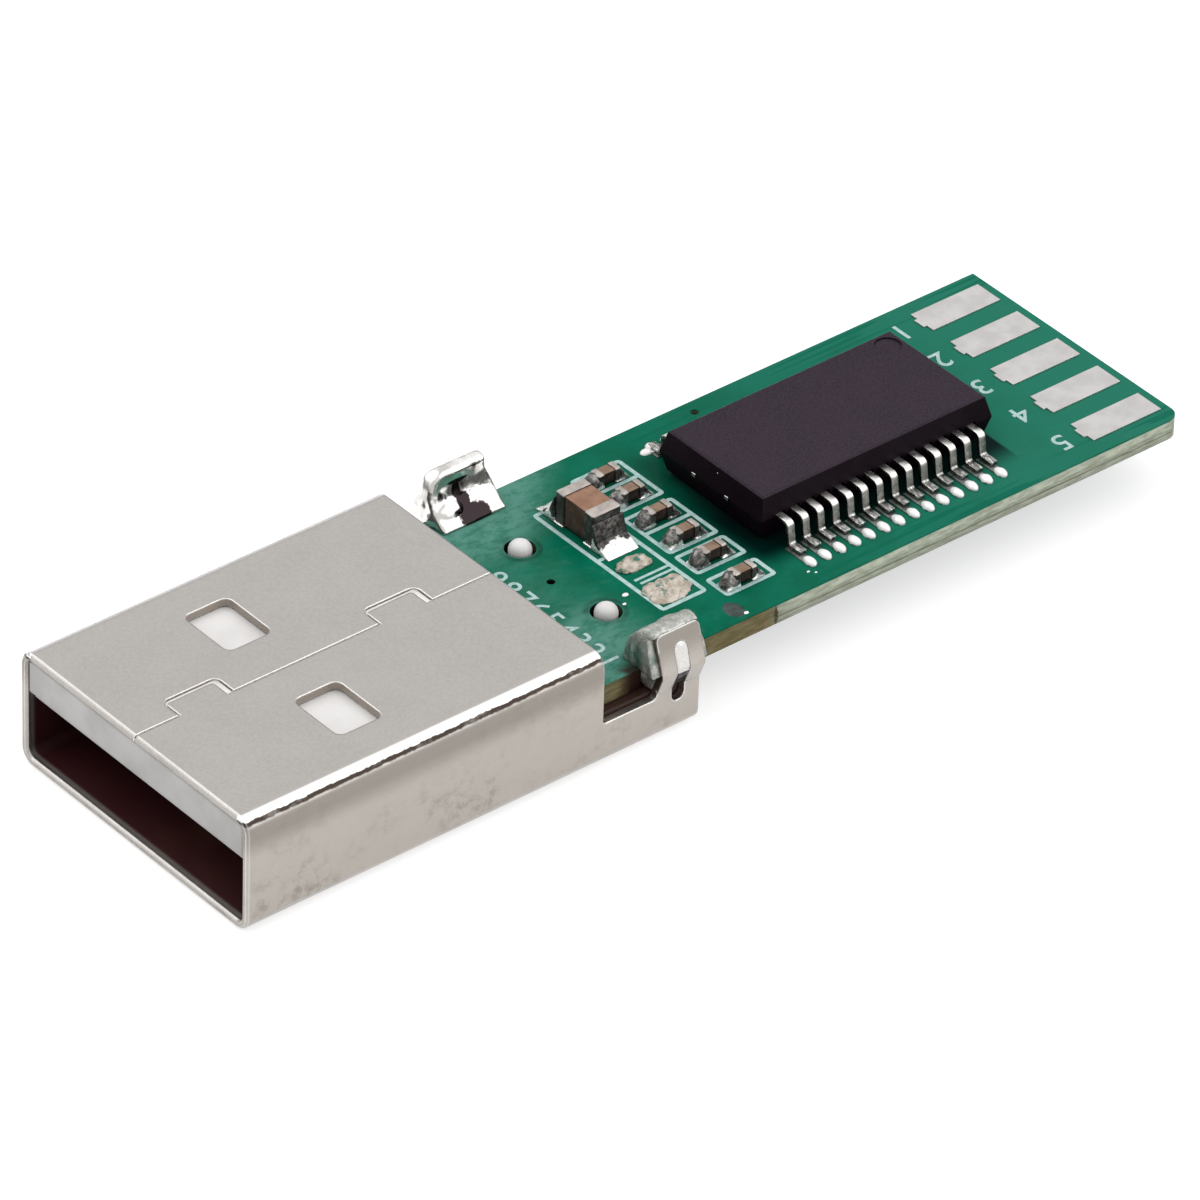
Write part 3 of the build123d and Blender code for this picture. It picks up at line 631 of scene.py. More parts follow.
def edge_group() -> bpy.types.NodeTree:
    """Rounded normal, and masks of the rims: all of them, and those that tilt towards the lamp.

    Returns:
        The node group.
    """
    s, enter, leave = open_group(
        "softened_edge",
        {"Radius": 0.00004, "Strength": 6.0},
        {"Normal": "NodeSocketVector", "Mask": "NodeSocketFloat", "Lit Mask": "NodeSocketFloat"},
    )
    bevel = s.node("ShaderNodeBevel", samples=6)
    s.feed(bevel.inputs["Radius"], enter.outputs["Radius"])
    tilt = s.node("ShaderNodeVectorMath", operation="SUBTRACT")
    s.feed(tilt.inputs[0], bevel.outputs["Normal"])
    s.feed(tilt.inputs[1], s.node("ShaderNodeNewGeometry").outputs["Normal"])
    size = s.node("ShaderNodeVectorMath", operation="LENGTH")
    s.feed(size.inputs[0], tilt.outputs["Vector"])
    lit = s.node("ShaderNodeVectorMath", operation="DOT_PRODUCT")
    s.feed(lit.inputs[0], tilt.outputs["Vector"])
    lit.inputs[1].default_value = (-0.55, -0.8, 0.25)
    squared = s.math("MULTIPLY", size.outputs["Value"], size.outputs["Value"])
    s.feed(leave.inputs["Normal"], bevel.outputs["Normal"])
    stronger = s.math("MULTIPLY", squared, enter.outputs["Strength"])
    s.feed(leave.inputs["Mask"], s.math("MINIMUM", stronger, 1.0))
    s.feed(leave.inputs["Lit Mask"], s.remap(lit.outputs["Value"], 0.08, 0.3))
    return s.tree


def speck_group() -> bpy.types.NodeTree:
    """Sparse specks of dust or pits, as a mask.

    Returns:
        The node group.
    """
    s, enter, leave = open_group(
        "specks",
        {"Density": 1.0, "Size": 0.06},
        {"Mask": "NodeSocketFloat"},
    )
    cells = s.node("ShaderNodeTexVoronoi")
    s.feed(cells.inputs["Vector"], s.coordinates())
    s.feed(cells.inputs["Scale"], enter.outputs["Density"])
    inside = s.math("LESS_THAN", cells.outputs["Distance"], enter.outputs["Size"])
    rare = s.math("GREATER_THAN", s.split(cells.outputs["Color"])[0], 0.6)
    s.feed(leave.inputs["Mask"], s.math("MULTIPLY", inside, rare))
    return s.tree


GRAIN = grain_group()
EDGE = edge_group()
SPECKS = speck_group()


@dataclass(frozen=True)
class Finish:
    """Surface finish with grain, mottling, specks and softened edges.

    Every colour is linear. The mottle colour shows where the slow noise is high, the shaded side colour, a
    painted shade, on upright faces, the speck colour on sparse specks, and the rim highlight colour, a
    painted highlight, along lit rims. The nook colour is painted shade in corners and crevices, found by
    ambient occlusion.
    """

    look: Look
    colour: tuple
    mottle_colour: tuple
    shaded_side_colour: tuple = ()
    metallic: float = 0.0
    roughness: float = 0.5
    roughness_spread: float = 0.08
    grain_scale: float = 8.0
    mottle_scale: float = 0.6
    bump: float = 0.02
    bump_mottle: float = 0.3
    rim_highlight_colour: tuple = ()
    edge_radius: float = 0.03
    speck_colour: tuple = ()
    speck_density: float = 0.8
    speck_size: float = 0.05
    specular: float = 0.5
    coat: float = 0.0
    shaded_side_mottle: tuple = ()
    fleck_colour: tuple = ()
    fleck_share: float = 0.3
    nook_shade: float = 0.0
    nook_reach: float = 0.7
    nook_colour: tuple = (0.004, 0.006, 0.006)

    def metal(self, s: Shader) -> object:
        """Share of metal; a finish with its own pattern overrides this."""
        return self.metallic

    def rims(self, s: Shader, rim: object) -> object:
        """Mask of the lit rims, which get the painted highlight; a finish that hides some of them overrides
        this.
        """
        return rim

    def paint(self, s: Shader, grain: bpy.types.Node) -> object:
        """Base colour of the finish; a finish with its own pattern overrides this.

        Args:
            s: Wrapper round the material's node tree.
            grain: Placed grain group, whose mottle tints the colour.

        Returns:
            Socket with the base colour.
        """
        colour = s.mix(grain.outputs["Mottle"], self.colour, self.mottle_colour)
        if self.fleck_colour:
            fine = s.remap(s.noise(s.coordinates(), self.grain_scale * 0.6, 2.0), 0.35, 0.65)
            colour = s.mix(s.math("MULTIPLY", fine, self.fleck_share), colour, self.fleck_colour)
        # Painted shade: upright faces take the darker side colour.
        if self.shaded_side_colour:
            side = self.shaded_side_colour
            if self.shaded_side_mottle:
                cloud = s.remap(s.noise(s.coordinates(), 3.5, 5.0, 0.6), 0.42, 0.68)
                side = s.mix(cloud, self.shaded_side_colour, self.shaded_side_mottle)
            upright = s.math("ABSOLUTE", s.object_normal(Axis.Z))
            streaky = s.math("ADD", upright, s.math("MULTIPLY", s.noise(s.coordinates(), 5.0), 0.3))
            colour = s.mix(s.remap(streaky, 0.5, 0.9), side, colour)
        return colour

    def material(self) -> bpy.types.Material:
        """Build the material with its node tree.

        Returns:
            The material.
        """
        material = bpy.data.materials.new(self.look.value)
        material.use_nodes = True
        s = Shader(material.node_tree)
        surface = material.node_tree.nodes["Principled BSDF"]
        grain = s.group(GRAIN, Grain_Scale=self.grain_scale, Mottle_Scale=self.mottle_scale,
                        Mottle_Share=self.bump_mottle)
        edge = s.group(EDGE, Radius=self.edge_radius * MM)
        colour = self.paint(s, grain)
        if self.speck_colour:
            specks = s.group(SPECKS, Density=self.speck_density, Size=self.speck_size)
            colour = s.mix(specks.outputs["Mask"], colour, self.speck_colour)
        # Painted highlight along the rims, strongest on rims that tilt towards the lamp.
        if self.rim_highlight_colour:
            rim = s.math("MAXIMUM", edge.outputs["Lit Mask"], s.math("MULTIPLY", edge.outputs["Mask"], 0.4))
            colour = s.mix(self.rims(s, rim), colour, self.rim_highlight_colour)
        # Painted shade in corners and crevices, found by ambient occlusion.
        if self.nook_shade:
            nook = s.node("ShaderNodeAmbientOcclusion", samples=6)
            nook.inputs["Distance"].default_value = self.nook_reach * MM
            shadow = s.remap(nook.outputs["AO"], 0.2, 0.85, self.nook_shade, 0.0)
            colour = s.mix(shadow, colour, self.nook_colour)
        s.feed(surface.inputs["Base Color"], colour)
        s.feed(surface.inputs["Metallic"], self.metal(s))
        rough = s.remap(grain.outputs["Mottle"], 0.0, 1.0, self.roughness - self.roughness_spread,
                        self.roughness + self.roughness_spread)
        s.feed(surface.inputs["Roughness"], rough)
        surface.inputs["Specular IOR Level"].default_value = self.specular
        surface.inputs["Coat Weight"].default_value = self.coat
        surface.inputs["Coat Roughness"].default_value = 0.08
        bump = s.node("ShaderNodeBump")
        bump.inputs["Strength"].default_value = 1.0
        bump.inputs["Distance"].default_value = self.bump * MM
        s.feed(bump.inputs["Height"], grain.outputs["Height"])
        s.feed(bump.inputs["Normal"], edge.outputs["Normal"])
        s.feed(surface.inputs["Normal"], bump.outputs["Normal"])
        return material


@dataclass(frozen=True)
class ShellFinish(Finish):
    """Satin nickel: fine grain, brownish stains low on the walls, painted shade on its walls and inside the
    box, and along the long bends a painted highlight band over a painted dark reflection line.
    """

    brown_colour: tuple = (0.20, 0.17, 0.145)
    reflection_line_colour: tuple = (0.045, 0.034, 0.028)
    highlight_band_colour: tuple = (0.97, 0.96, 0.94)
    shaded_wall_colour: tuple = (0.43, 0.395, 0.355)
    under_bend_shade_colour: tuple = (0.24, 0.215, 0.19)
    inside_shade_colour: tuple = (0.040, 0.010, 0.012)
    cut_colour: tuple = (0.34, 0.29, 0.25)
    grain_colour: tuple = (0.72, 0.70, 0.67)
    grain_share: float = 0.16
    shaded_wall_share: float = 0.8
    under_bend_share: float = 0.75
    stain_share: float = 0.6
    cut_dullness: float = 0.75
    sheet: float = 0.3

    def shaded_cavity(self, s: Shader) -> object:
        """Mask of the painted shade on the folded box's inner faces under the tongue.

        Args:
            s: Wrapper round the material's node tree.

        Returns:
            Socket with the mask.
        """
        x, y, z = s.split(s.coordinates())
        across = s.math("LESS_THAN", s.math("ABSOLUTE", y), SHELL_HALF / MM - 0.15)
        above = s.math("GREATER_THAN", z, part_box("plug_shell")[0].z / MM + 0.15)
        under = s.math("LESS_THAN", z, TONGUE_LEVEL / MM)
        front = s.math("LESS_THAN", x, (MOUTH_X + ROOF_LENGTH) / MM - 0.5)
        box = s.math("MULTIPLY", s.math("MULTIPLY", across, above), s.math("MULTIPLY", under, front))
        return s.math("MULTIPLY", box, s.remap(x, MOUTH_X / MM + 0.1, MOUTH_X / MM + 0.4))

    def cuts(self, s: Shader) -> object:
        """Mask of the cut faces inside the roof's windows and seam.

        Args:
            s: Wrapper round the material's node tree.

        Returns:
            Socket with the mask.
        """
        x, y, z = s.split(s.coordinates())
        wall = s.remap(s.math("ABSOLUTE", s.object_normal(Axis.Z)), 0.2, 0.5, 1.0, 0.0)
        roof = s.math("GREATER_THAN", z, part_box("plug_shell")[1].z / MM - self.sheet - 0.01)
        middle = s.math("LESS_THAN", s.math("ABSOLUTE", y), SHELL_HALF / MM - 0.75)
        behind = s.math("GREATER_THAN", x, MOUTH_X / MM + 0.2)
        ahead = s.math("LESS_THAN", x, (MOUTH_X + ROOF_LENGTH) / MM - 0.2)
        return s.math("MULTIPLY", s.math("MULTIPLY", wall, roof),
                      s.math("MULTIPLY", middle, s.math("MULTIPLY", behind, ahead)))

    def rims(self, s: Shader, rim: object) -> object:
        """Painted highlight on the lit rims, but none across the smooth kink of a leg."""
        y = s.split(s.coordinates())[1]
        return s.math("MULTIPLY", rim, s.math("LESS_THAN", s.math("ABSOLUTE", y), SHELL_HALF / MM + 0.02))

    def metal(self, s: Shader) -> object:
        """Metal everywhere but on the box's inner faces, painted in shade, and on the dull cut faces."""
        dull = s.math("MAXIMUM", self.shaded_cavity(s), s.math("MULTIPLY", self.cuts(s), self.cut_dullness))
        return s.math("SUBTRACT", 1.0, dull)

    def paint(self, s: Shader, grain: bpy.types.Node) -> object:
        """Plate with its grain, its stained walls and the lines along its long bends.

        Args:
            s: Wrapper round the material's node tree.
            grain: Placed grain group, whose mottle tints the colour.

        Returns:
            Socket with the base colour.
        """
        place = s.coordinates()
        y, z = s.split(place)[1:]
        low_z, high_z = (value.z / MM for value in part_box("plug_shell"))
        plate = s.mix(grain.outputs["Mottle"], self.colour, self.mottle_colour)
        fine = s.remap(s.noise(place, 11.0, 2.0), 0.3, 0.7)
        plate = s.mix(s.math("MULTIPLY", fine, self.grain_share), plate, self.grain_colour)
        wall = s.remap(s.math("ABSOLUTE", s.object_normal(Axis.Z)), 0.2, 0.5, 1.0, 0.0)
        # Painted shade: upright walls take a darker, warmer copy of the plate.
        plate = s.mix(s.math("MULTIPLY", wall, self.shaded_wall_share), plate, self.shaded_wall_colour)
        # Painted shade on the outer walls just under the long bends.
        outer = s.math("GREATER_THAN", s.math("ABSOLUTE", y), SHELL_HALF / MM - 0.56)
        drop = s.math("SUBTRACT", high_z, z)
        below = s.math("MULTIPLY", s.remap(drop, 0.25, 0.35), s.remap(drop, 0.7, 1.7, 1.0, 0.0))
        dim = s.math("MULTIPLY", below, outer)
        plate = s.mix(s.math("MULTIPLY", dim, self.under_bend_share), plate, self.under_bend_shade_colour)
        rise = s.remap(z, low_z + 0.3, high_z - 1.0, 1.0, 0.35)
        patch = s.remap(s.noise(s.coordinates((0.8, 0.8, 0.8)), 0.45, 3.0), 0.40, 0.60, 0.12, 1.0)
        fleck = s.remap(s.noise(place, 2.0, 8.0, 0.75), 0.44, 0.66)
        stain = s.math("MULTIPLY", s.math("MULTIPLY", wall, rise), s.math("MULTIPLY", patch, fleck))
        plate = s.mix(s.math("MULTIPLY", stain, self.stain_share), plate, self.brown_colour)
        # Painted highlight band down from the roof's long edges, with a painted dark reflection line under
        # it.
        ragged = s.math("ADD", drop, s.math("MULTIPLY", s.noise(place, 3.0, 5.0, 0.65), 0.12))
        band = s.math("MULTIPLY", s.remap(drop, 0.004, 0.02), s.remap(ragged, 0.19, 0.22, 1.0, 0.0))
        plate = s.mix(s.math("MULTIPLY", band, outer), plate, self.highlight_band_colour)
        line = s.math("MULTIPLY", s.remap(ragged, 0.20, 0.23), s.remap(ragged, 0.30, 0.36, 1.0, 0.0))
        broken = s.remap(s.noise(s.coordinates((0.5, 1.0, 1.0)), 1.2, 4.0, 0.7), 0.3, 0.5, 0.7, 1.0)
        plate = s.mix(s.math("MULTIPLY", s.math("MULTIPLY", line, outer), broken), plate, self.reflection_line_colour)
        plate = s.mix(self.cuts(s), plate, self.cut_colour)
        # Painted shade inside the box, under the tongue.
        return s.mix(self.shaded_cavity(s), plate, self.inside_shade_colour)


@dataclass(frozen=True)
class MouldingFinish(Finish):
    """White moulding: painted shade deep in the mouth, and dark brown beside the legs at the rear."""

    shade_colour: tuple = (0.026, 0.006, 0.008)
    brown_colour: tuple = (0.035, 0.012, 0.008)

    def paint(self, s: Shader, grain: bpy.types.Node) -> object:
        """White where the tongue, the windows and the pegs show it, with painted shade in the deep gaps.

        Args:
            s: Wrapper round the material's node tree.
            grain: Placed grain group, whose mottle tints the colour.

        Returns:
            Socket with the base colour.
        """
        x, y, z = s.split(s.coordinates())
        white = s.mix(grain.outputs["Mottle"], self.colour, self.mottle_colour)
        hollow = s.math("MULTIPLY", s.remap(x, MOUTH_X / MM + 1.2, MOUTH_X / MM + 2.0),
                        s.math("LESS_THAN", x, (MOUTH_X + ROOF_LENGTH) / MM))
        # Painted shade deep in the mouth, under the tongue's level.
        deep = s.math("MULTIPLY", hollow, s.math("LESS_THAN", z, TONGUE_LEVEL / MM))
        # Dark brown beside the legs at the rear.
        behind = s.math("MULTIPLY", s.math("GREATER_THAN", x, (MOUTH_X + ROOF_LENGTH) / MM - 0.8),
                        s.remap(s.math("ABSOLUTE", y), 4.2, 4.8))
        return s.mix(behind, s.mix(deep, white, self.shade_colour), self.brown_colour)


@dataclass(frozen=True)
class SolderFinish(Finish):
    """Frozen solder whose mirror face is broken by painted dark reflections, as flowing patches.

    The pools are painted dark reflections at set places, each its middle behind the mouth, its height and
    its two half sizes. The gap colour shows through in holes of the solder.
    """

    dark_reflection_colour: tuple = (0.035, 0.022, 0.022)
    dark_share: float = 0.5
    dark_scale: float = 1.1
    slot_colour: tuple = ()
    pools: tuple = ()
    gap_colour: tuple = ()
    gap_share: float = 0.4
    softness: float = 0.05
    pool_wave: float = 0.9
    slot_shadow: tuple = (0.016, 0.008, 0.010)
    slot_filled_from: float = 2.66
    slot_middle: float = 17.95
    slot_half: float = 0.36

    def paint(self, s: Shader, grain: bpy.types.Node) -> object:
        """Bright metal with painted dark reflections that run down its sides.

        Args:
            s: Wrapper round the material's node tree.
            grain: Placed grain group, whose mottle tints the colour.

        Returns:
            Socket with the base colour.
        """
        place = s.coordinates()
        x, y, z = s.split(place)
        bright = s.mix(grain.outputs["Mottle"], self.colour, self.mottle_colour)
        # Painted dark reflections, streaked down the faces that don't look up.
        flow = s.noise(s.coordinates((1.0, 1.0, 0.45)), self.dark_scale, 2.5, 0.45)
        upright = s.remap(s.object_normal(Axis.Z), 0.35, 0.8, 1.0, 0.0)
        threshold = 0.66 - 0.3 * self.dark_share
        dark = s.math("MULTIPLY", s.remap(flow, threshold, threshold + self.softness), upright)
        colour = s.mix(dark, bright, self.dark_reflection_colour)
        wave = s.math("MULTIPLY", s.math("SUBTRACT", s.noise(place, 2.6, 4.0, 0.6), 0.5),
                      self.pool_wave)
        # Painted dark reflections as pools at set places.
        for along, height, half_length, half_height in self.pools:
            right = s.math("DIVIDE", s.math("SUBTRACT", x, MOUTH_X / MM + along), half_length)
            up = s.math("DIVIDE", s.math("SUBTRACT", z, height), half_height)
            pool = s.remap(s.math("ADD", s.length(right, up), wave), 0.85, 1.0, 1.0, 0.0)
            colour = s.mix(pool, colour, self.dark_reflection_colour)
        if self.gap_colour:
            holes = s.noise(place, 2.4, 5.0, 0.6)
            edge = 0.68 - 0.3 * self.gap_share
            colour = s.mix(s.remap(holes, edge, edge + self.softness), colour, self.gap_colour)
        if self.slot_colour:
            aside = s.math("ABSOLUTE", s.math("SUBTRACT", x, MOUTH_X / MM + self.slot_middle))
            outside = s.math("MULTIPLY", s.math("GREATER_THAN", s.math("ABSOLUTE", y), SHELL_HALF / MM - 0.2),
                             s.math("LESS_THAN", aside, self.slot_half))
            level = s.math("ADD", z, s.math("MULTIPLY", s.noise(place, 3.0, 0.0), 0.1))
            filled = s.remap(level, self.slot_filled_from, self.slot_filled_from + 0.05)
            colour = s.mix(outside, colour, s.mix(filled, self.slot_shadow, self.slot_colour))
        return colour


@dataclass(frozen=True)
class FilletFinish(Finish):
    """Solder fillet of a small part: dull grey above, with a painted highlight in spots at its foot."""

    foot_colour: tuple = (0.96, 0.95, 0.93)
    foot_height: float = 0.13
    bulk_dark: tuple = (0.030, 0.026, 0.024)
    bulk_light: tuple = (0.10, 0.094, 0.088)
    bulk_foot: float = 0.16
    foot_wave: float = 0.9

    def paint(self, s: Shader, grain: bpy.types.Node) -> object:
        """Grey metal over a foot with a painted highlight, darker and with a higher foot at the large
        capacitor.

        Args:
            s: Wrapper round the material's node tree.
            grain: Placed grain group, whose mottle tints the colour.

        Returns:
            Socket with the base colour.
        """
        place = s.coordinates()
        cloud = s.remap(s.noise(place, 5.0, 4.0, 0.6), 0.4, 0.62)
        bulk = s.math("LESS_THAN", s.split(place)[0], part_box("bulk_capacitor_caps")[1].x / MM + 0.3)
        small_grey = s.mix(cloud, self.colour, self.mottle_colour)
        grey = s.mix(bulk, small_grey, s.mix(cloud, self.bulk_dark, self.bulk_light))
        rise = s.math("SUBTRACT", s.split(place)[2], BOARD_TOP / MM)
        rise = s.math("SUBTRACT", rise, s.math("MULTIPLY", bulk, self.bulk_foot))
        wave = s.math("MULTIPLY", s.math("SUBTRACT", s.noise(place, 2.2, 3.0), 0.5), self.foot_wave)
        rise = s.math("ADD", rise, wave)
        # Painted highlight in spots along the foot.
        foot = s.remap(rise, self.foot_height - 0.06, self.foot_height, 1.0, 0.0)
        return s.mix(foot, grey, self.foot_colour)


@dataclass(frozen=True)
class LeadFinish(Finish):
    """Tinned lead: white on its shoulder, grey down its riser by painted shade, streaked along its foot."""

    foot_colour: tuple = (0.20, 0.195, 0.185)
    foot_height: float = 0.3
    streak_share: float = 0.7

    def paint(self, s: Shader, grain: bpy.types.Node) -> object:
        """Tin with a duller foot.

        Args:
            s: Wrapper round the material's node tree.
            grain: Placed grain group, whose mottle tints the colour.

        Returns:
            Socket with the base colour.
        """
        tin = super().paint(s, grain)
        streaks = s.remap(s.noise(s.coordinates((3.0, 1.0, 1.0)), 4.0, 4.0, 0.65), 0.45, 0.62)
        foot = s.mix(s.math("MULTIPLY", streaks, self.streak_share), self.foot_colour, self.colour)
        rise = s.math("SUBTRACT", s.split(s.coordinates())[2], BOARD_TOP / MM)
        return s.mix(s.remap(rise, self.foot_height - 0.1, self.foot_height, 1.0, 0.0), tin, foot)


@dataclass(frozen=True)
class BoardFinish(Finish):
    """Green mask on the two faces of the board, bare glass fibre on its edges."""

    light_colour: tuple = (0.020, 0.165, 0.112)
    dust_and_sheen_colour: tuple = (0.085, 0.235, 0.185)
    chip_shade: tuple = (0.0, 0.004, 0.005)
    chip_reach: float = 1.5
    track_colour: tuple = (0.0, 0.105, 0.062)
    ring_colour: tuple = (0.0, 0.040, 0.024)
    fibre_colour: tuple = (0.32, 0.345, 0.265)
    fibre_light: tuple = (0.50, 0.545, 0.44)
    fibre_dark: tuple = (0.10, 0.095, 0.06)
    olive_colour: tuple = (0.16, 0.135, 0.06)
    olive_light: tuple = (0.24, 0.20, 0.11)
    burn_colour: tuple = (0.03, 0.012, 0.008)
    mask_lip: float = 0.03
    peg_ring: tuple = (0.62, 0.74)
    ring_share: float = 0.8
    track_share: float = 0.6
    rear_falloff: float = 14.0

    def paint(self, s: Shader, grain: bpy.types.Node) -> object:
        """Mask where the surface faces up or down, and fibre layers elsewhere.

        Args:
            s: Wrapper round the material's node tree.
            grain: Placed grain group, whose mottle tints the colour.

        Returns:
            Socket with the base colour.
        """
        x, y, z = s.split(s.coordinates())
        low, high = (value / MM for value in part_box("circuit_board"))
        mask = self.mask_paint(s, grain, x, y)
        depth = s.math("SUBTRACT", z, (low.z + high.z) / 2)
        wavy = s.math("ADD", depth, s.math("MULTIPLY", s.noise(s.coordinates((0.3, 0.3, 0.3)), 1.0), 0.12))
        strands = s.noise(s.coordinates((0.9, 0.9, 5.0)), 1.4, 6.0, 0.7)
        fibre = s.mix(s.remap(strands, 0.38, 0.62), self.fibre_colour, self.fibre_light)
        split = s.math("ABSOLUTE", s.math("SUBTRACT", wavy, 0.04))
        fibre = s.mix(s.remap(split, 0.01, 0.045, 0.6, 0.0), fibre, self.fibre_dark)
        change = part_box("plug_shell")[1].x / MM + 3.7
        olive = s.mix(s.remap(strands, 0.4, 0.6), self.olive_colour, self.olive_light)
        uneven = s.math("ADD", x, s.math("MULTIPLY", s.noise(s.coordinates(), 2.0), 0.8))
        fibre = s.mix(s.remap(uneven, change, change + 1.0), olive, fibre)
        burnt = s.remap(uneven, change - 4.3, change - 3.6, 1.0, 0.0)
        burnt = s.math("MULTIPLY", burnt, s.remap(uneven, change - 6.5, change - 5.7))
        fibre = s.mix(burnt, fibre, self.burn_colour)
        up = s.math("ABSOLUTE", s.object_normal(Axis.Z))
        lip = s.remap(z, high.z - 2 * self.mask_lip, high.z - self.mask_lip)
        return s.mix(s.math("MAXIMUM", s.math("GREATER_THAN", up, 0.7), lip), fibre, mask)

    def mask_paint(self, s: Shader, grain: bpy.types.Node, x: object, y: object) -> object:
        """Mask colour: lighter towards the wire pads, with faint tracks, rings round the pegs, dust with
        painted sheen and the chip's painted shade.

        Args:
            s: Wrapper round the material's node tree.
            grain: Placed grain group, whose mottle tints the colour.
            x: Socket with the place along X in millimetres.
            y: Socket with the place along Y in millimetres.

        Returns:
            Socket with the mask's colour.
        """
        mask = s.mix(grain.outputs["Mottle"], self.colour, self.mottle_colour)
        soft = s.math("ADD", x, s.math("MULTIPLY", s.noise(s.coordinates(), 0.35), 10.0))
        mask = s.mix(s.remap(soft, 2.0, 26.0, 0.0, 0.8), mask, self.light_colour)
        lines = s.noise(s.coordinates((0.10, 2.2, 0.0)), 1.6, 1.0)
        beside = s.remap(s.math("ABSOLUTE", y), 4.45, 4.7)
        tracks = s.math("MULTIPLY", s.math("MULTIPLY", s.remap(lines, 0.52, 0.56), beside), self.track_share)
        mask = s.mix(s.math("MULTIPLY", tracks, s.remap(x, 3.5, 5.0)), mask, self.track_colour)
        peg_x = PEG_MIDDLE.x / MM
        along = s.math("SUBTRACT", x, peg_x)
        across = s.math("SUBTRACT", s.math("ABSOLUTE", y), PEG_MIDDLE.y / MM)
        away = s.length(along, across)
        ring = s.math("MULTIPLY", s.remap(away, self.peg_ring[0] - 0.04, self.peg_ring[0]),
                      s.remap(away, self.peg_ring[1], self.peg_ring[1] + 0.05, 1.0, 0.0))
        mask = s.mix(s.math("MULTIPLY", ring, self.ring_share), mask, self.ring_colour)
        return s.mix(self.near_chip(s, x, y), self.dust_and_sheen(s, mask, x, y), self.chip_shade)

    def dust_and_sheen(self, s: Shader, mask: object, x: object, y: object) -> object:
        """Scuffs and haze of flux mixed with painted sheen, thickest beside the shell's legs.

        Args:
            s: Wrapper round the material's node tree.
            mask: Socket with the clean mask's colour.
            x: Socket with the place along X in millimetres.
            y: Socket with the place along Y in millimetres.

        Returns:
            Socket with the mask's colour under dust and painted sheen.
        """
        scuffs = s.noise(s.coordinates((1.0, 1.6, 1.0)), 1.3, 8.0, 0.72)
        # Dust with painted sheen, as a haze and thick beside the shell's legs.
        haze = s.math("MULTIPLY", s.remap(scuffs, 0.52, 0.70), s.remap(x, -1.0, 2.0, 0.16, 0.05))
        mask = s.mix(haze, mask, self.dust_and_sheen_colour)
        beyond = s.math("MULTIPLY", s.math("MAXIMUM", s.math("SUBTRACT", y, 1.5), 0.0), 0.9)
        legs = s.remap(s.math("SUBTRACT", x, beyond), MOUTH_X / MM + 16.8, MOUTH_X / MM + 19.3, 1.0, 0.0)
        sides = s.remap(s.math("ABSOLUTE", s.math("SUBTRACT", y, 0.4)), 1.2, 3.2, 0.25, 1.0)
        thick = s.math("MULTIPLY", s.math("MULTIPLY", legs, sides), s.remap(scuffs, 0.36, 0.56, 0.45, 1.0))
        mask = s.mix(thick, mask, self.dust_and_sheen_colour)
        singed = s.math("ADD", x, s.math("MULTIPLY", s.noise(s.coordinates((1.0, 4.0, 1.0)), 1.6, 4.0), 0.9))
        along = s.math("MULTIPLY", s.remap(singed, MOUTH_X / MM + 16.5, MOUTH_X / MM + 16.9),
                       s.remap(singed, MOUTH_X / MM + 17.6, MOUTH_X / MM + 18.2, 1.0, 0.0))
        return s.mix(s.math("MULTIPLY", along, s.remap(y, -5.2, -4.75, 0.9, 0.0)), mask, self.burn_colour)

    def near_chip(self, s: Shader, x: object, y: object) -> object:
        """Shade that the chip throws on the board, widest in front of it and along its near leads.

        Args:
            s: Wrapper round the material's node tree.
            x: Socket with the place along X in millimetres.
            y: Socket with the place along Y in millimetres.

        Returns:
            Socket with the shade's share.
        """
        middle = CHIP_MIDDLE / MM
        half = (CHIP_HIGH - CHIP_LOW) / 2 / MM
        front = s.math("MAXIMUM", s.math("SUBTRACT", CHIP_LOW.x / MM, x), 0.0)
        rear = s.math("MAXIMUM", s.math("SUBTRACT", x, CHIP_HIGH.x / MM), 0.0)
        rear = s.math("MULTIPLY", rear, self.rear_falloff)
        away = s.math("ABSOLUTE", s.math("SUBTRACT", y, middle.y))
        side = s.math("MAXIMUM", s.math("SUBTRACT", away, half.y + 0.2), 0.0)
        along = s.math("MAXIMUM", front, rear)
        gap = s.length(along, side)
        near = s.remap(y, middle.y - 1.0, middle.y + 2.5, 1.0, 0.45)
        return s.math("MULTIPLY", s.remap(gap, 0.1, self.chip_reach, 0.95, 0.0), near)


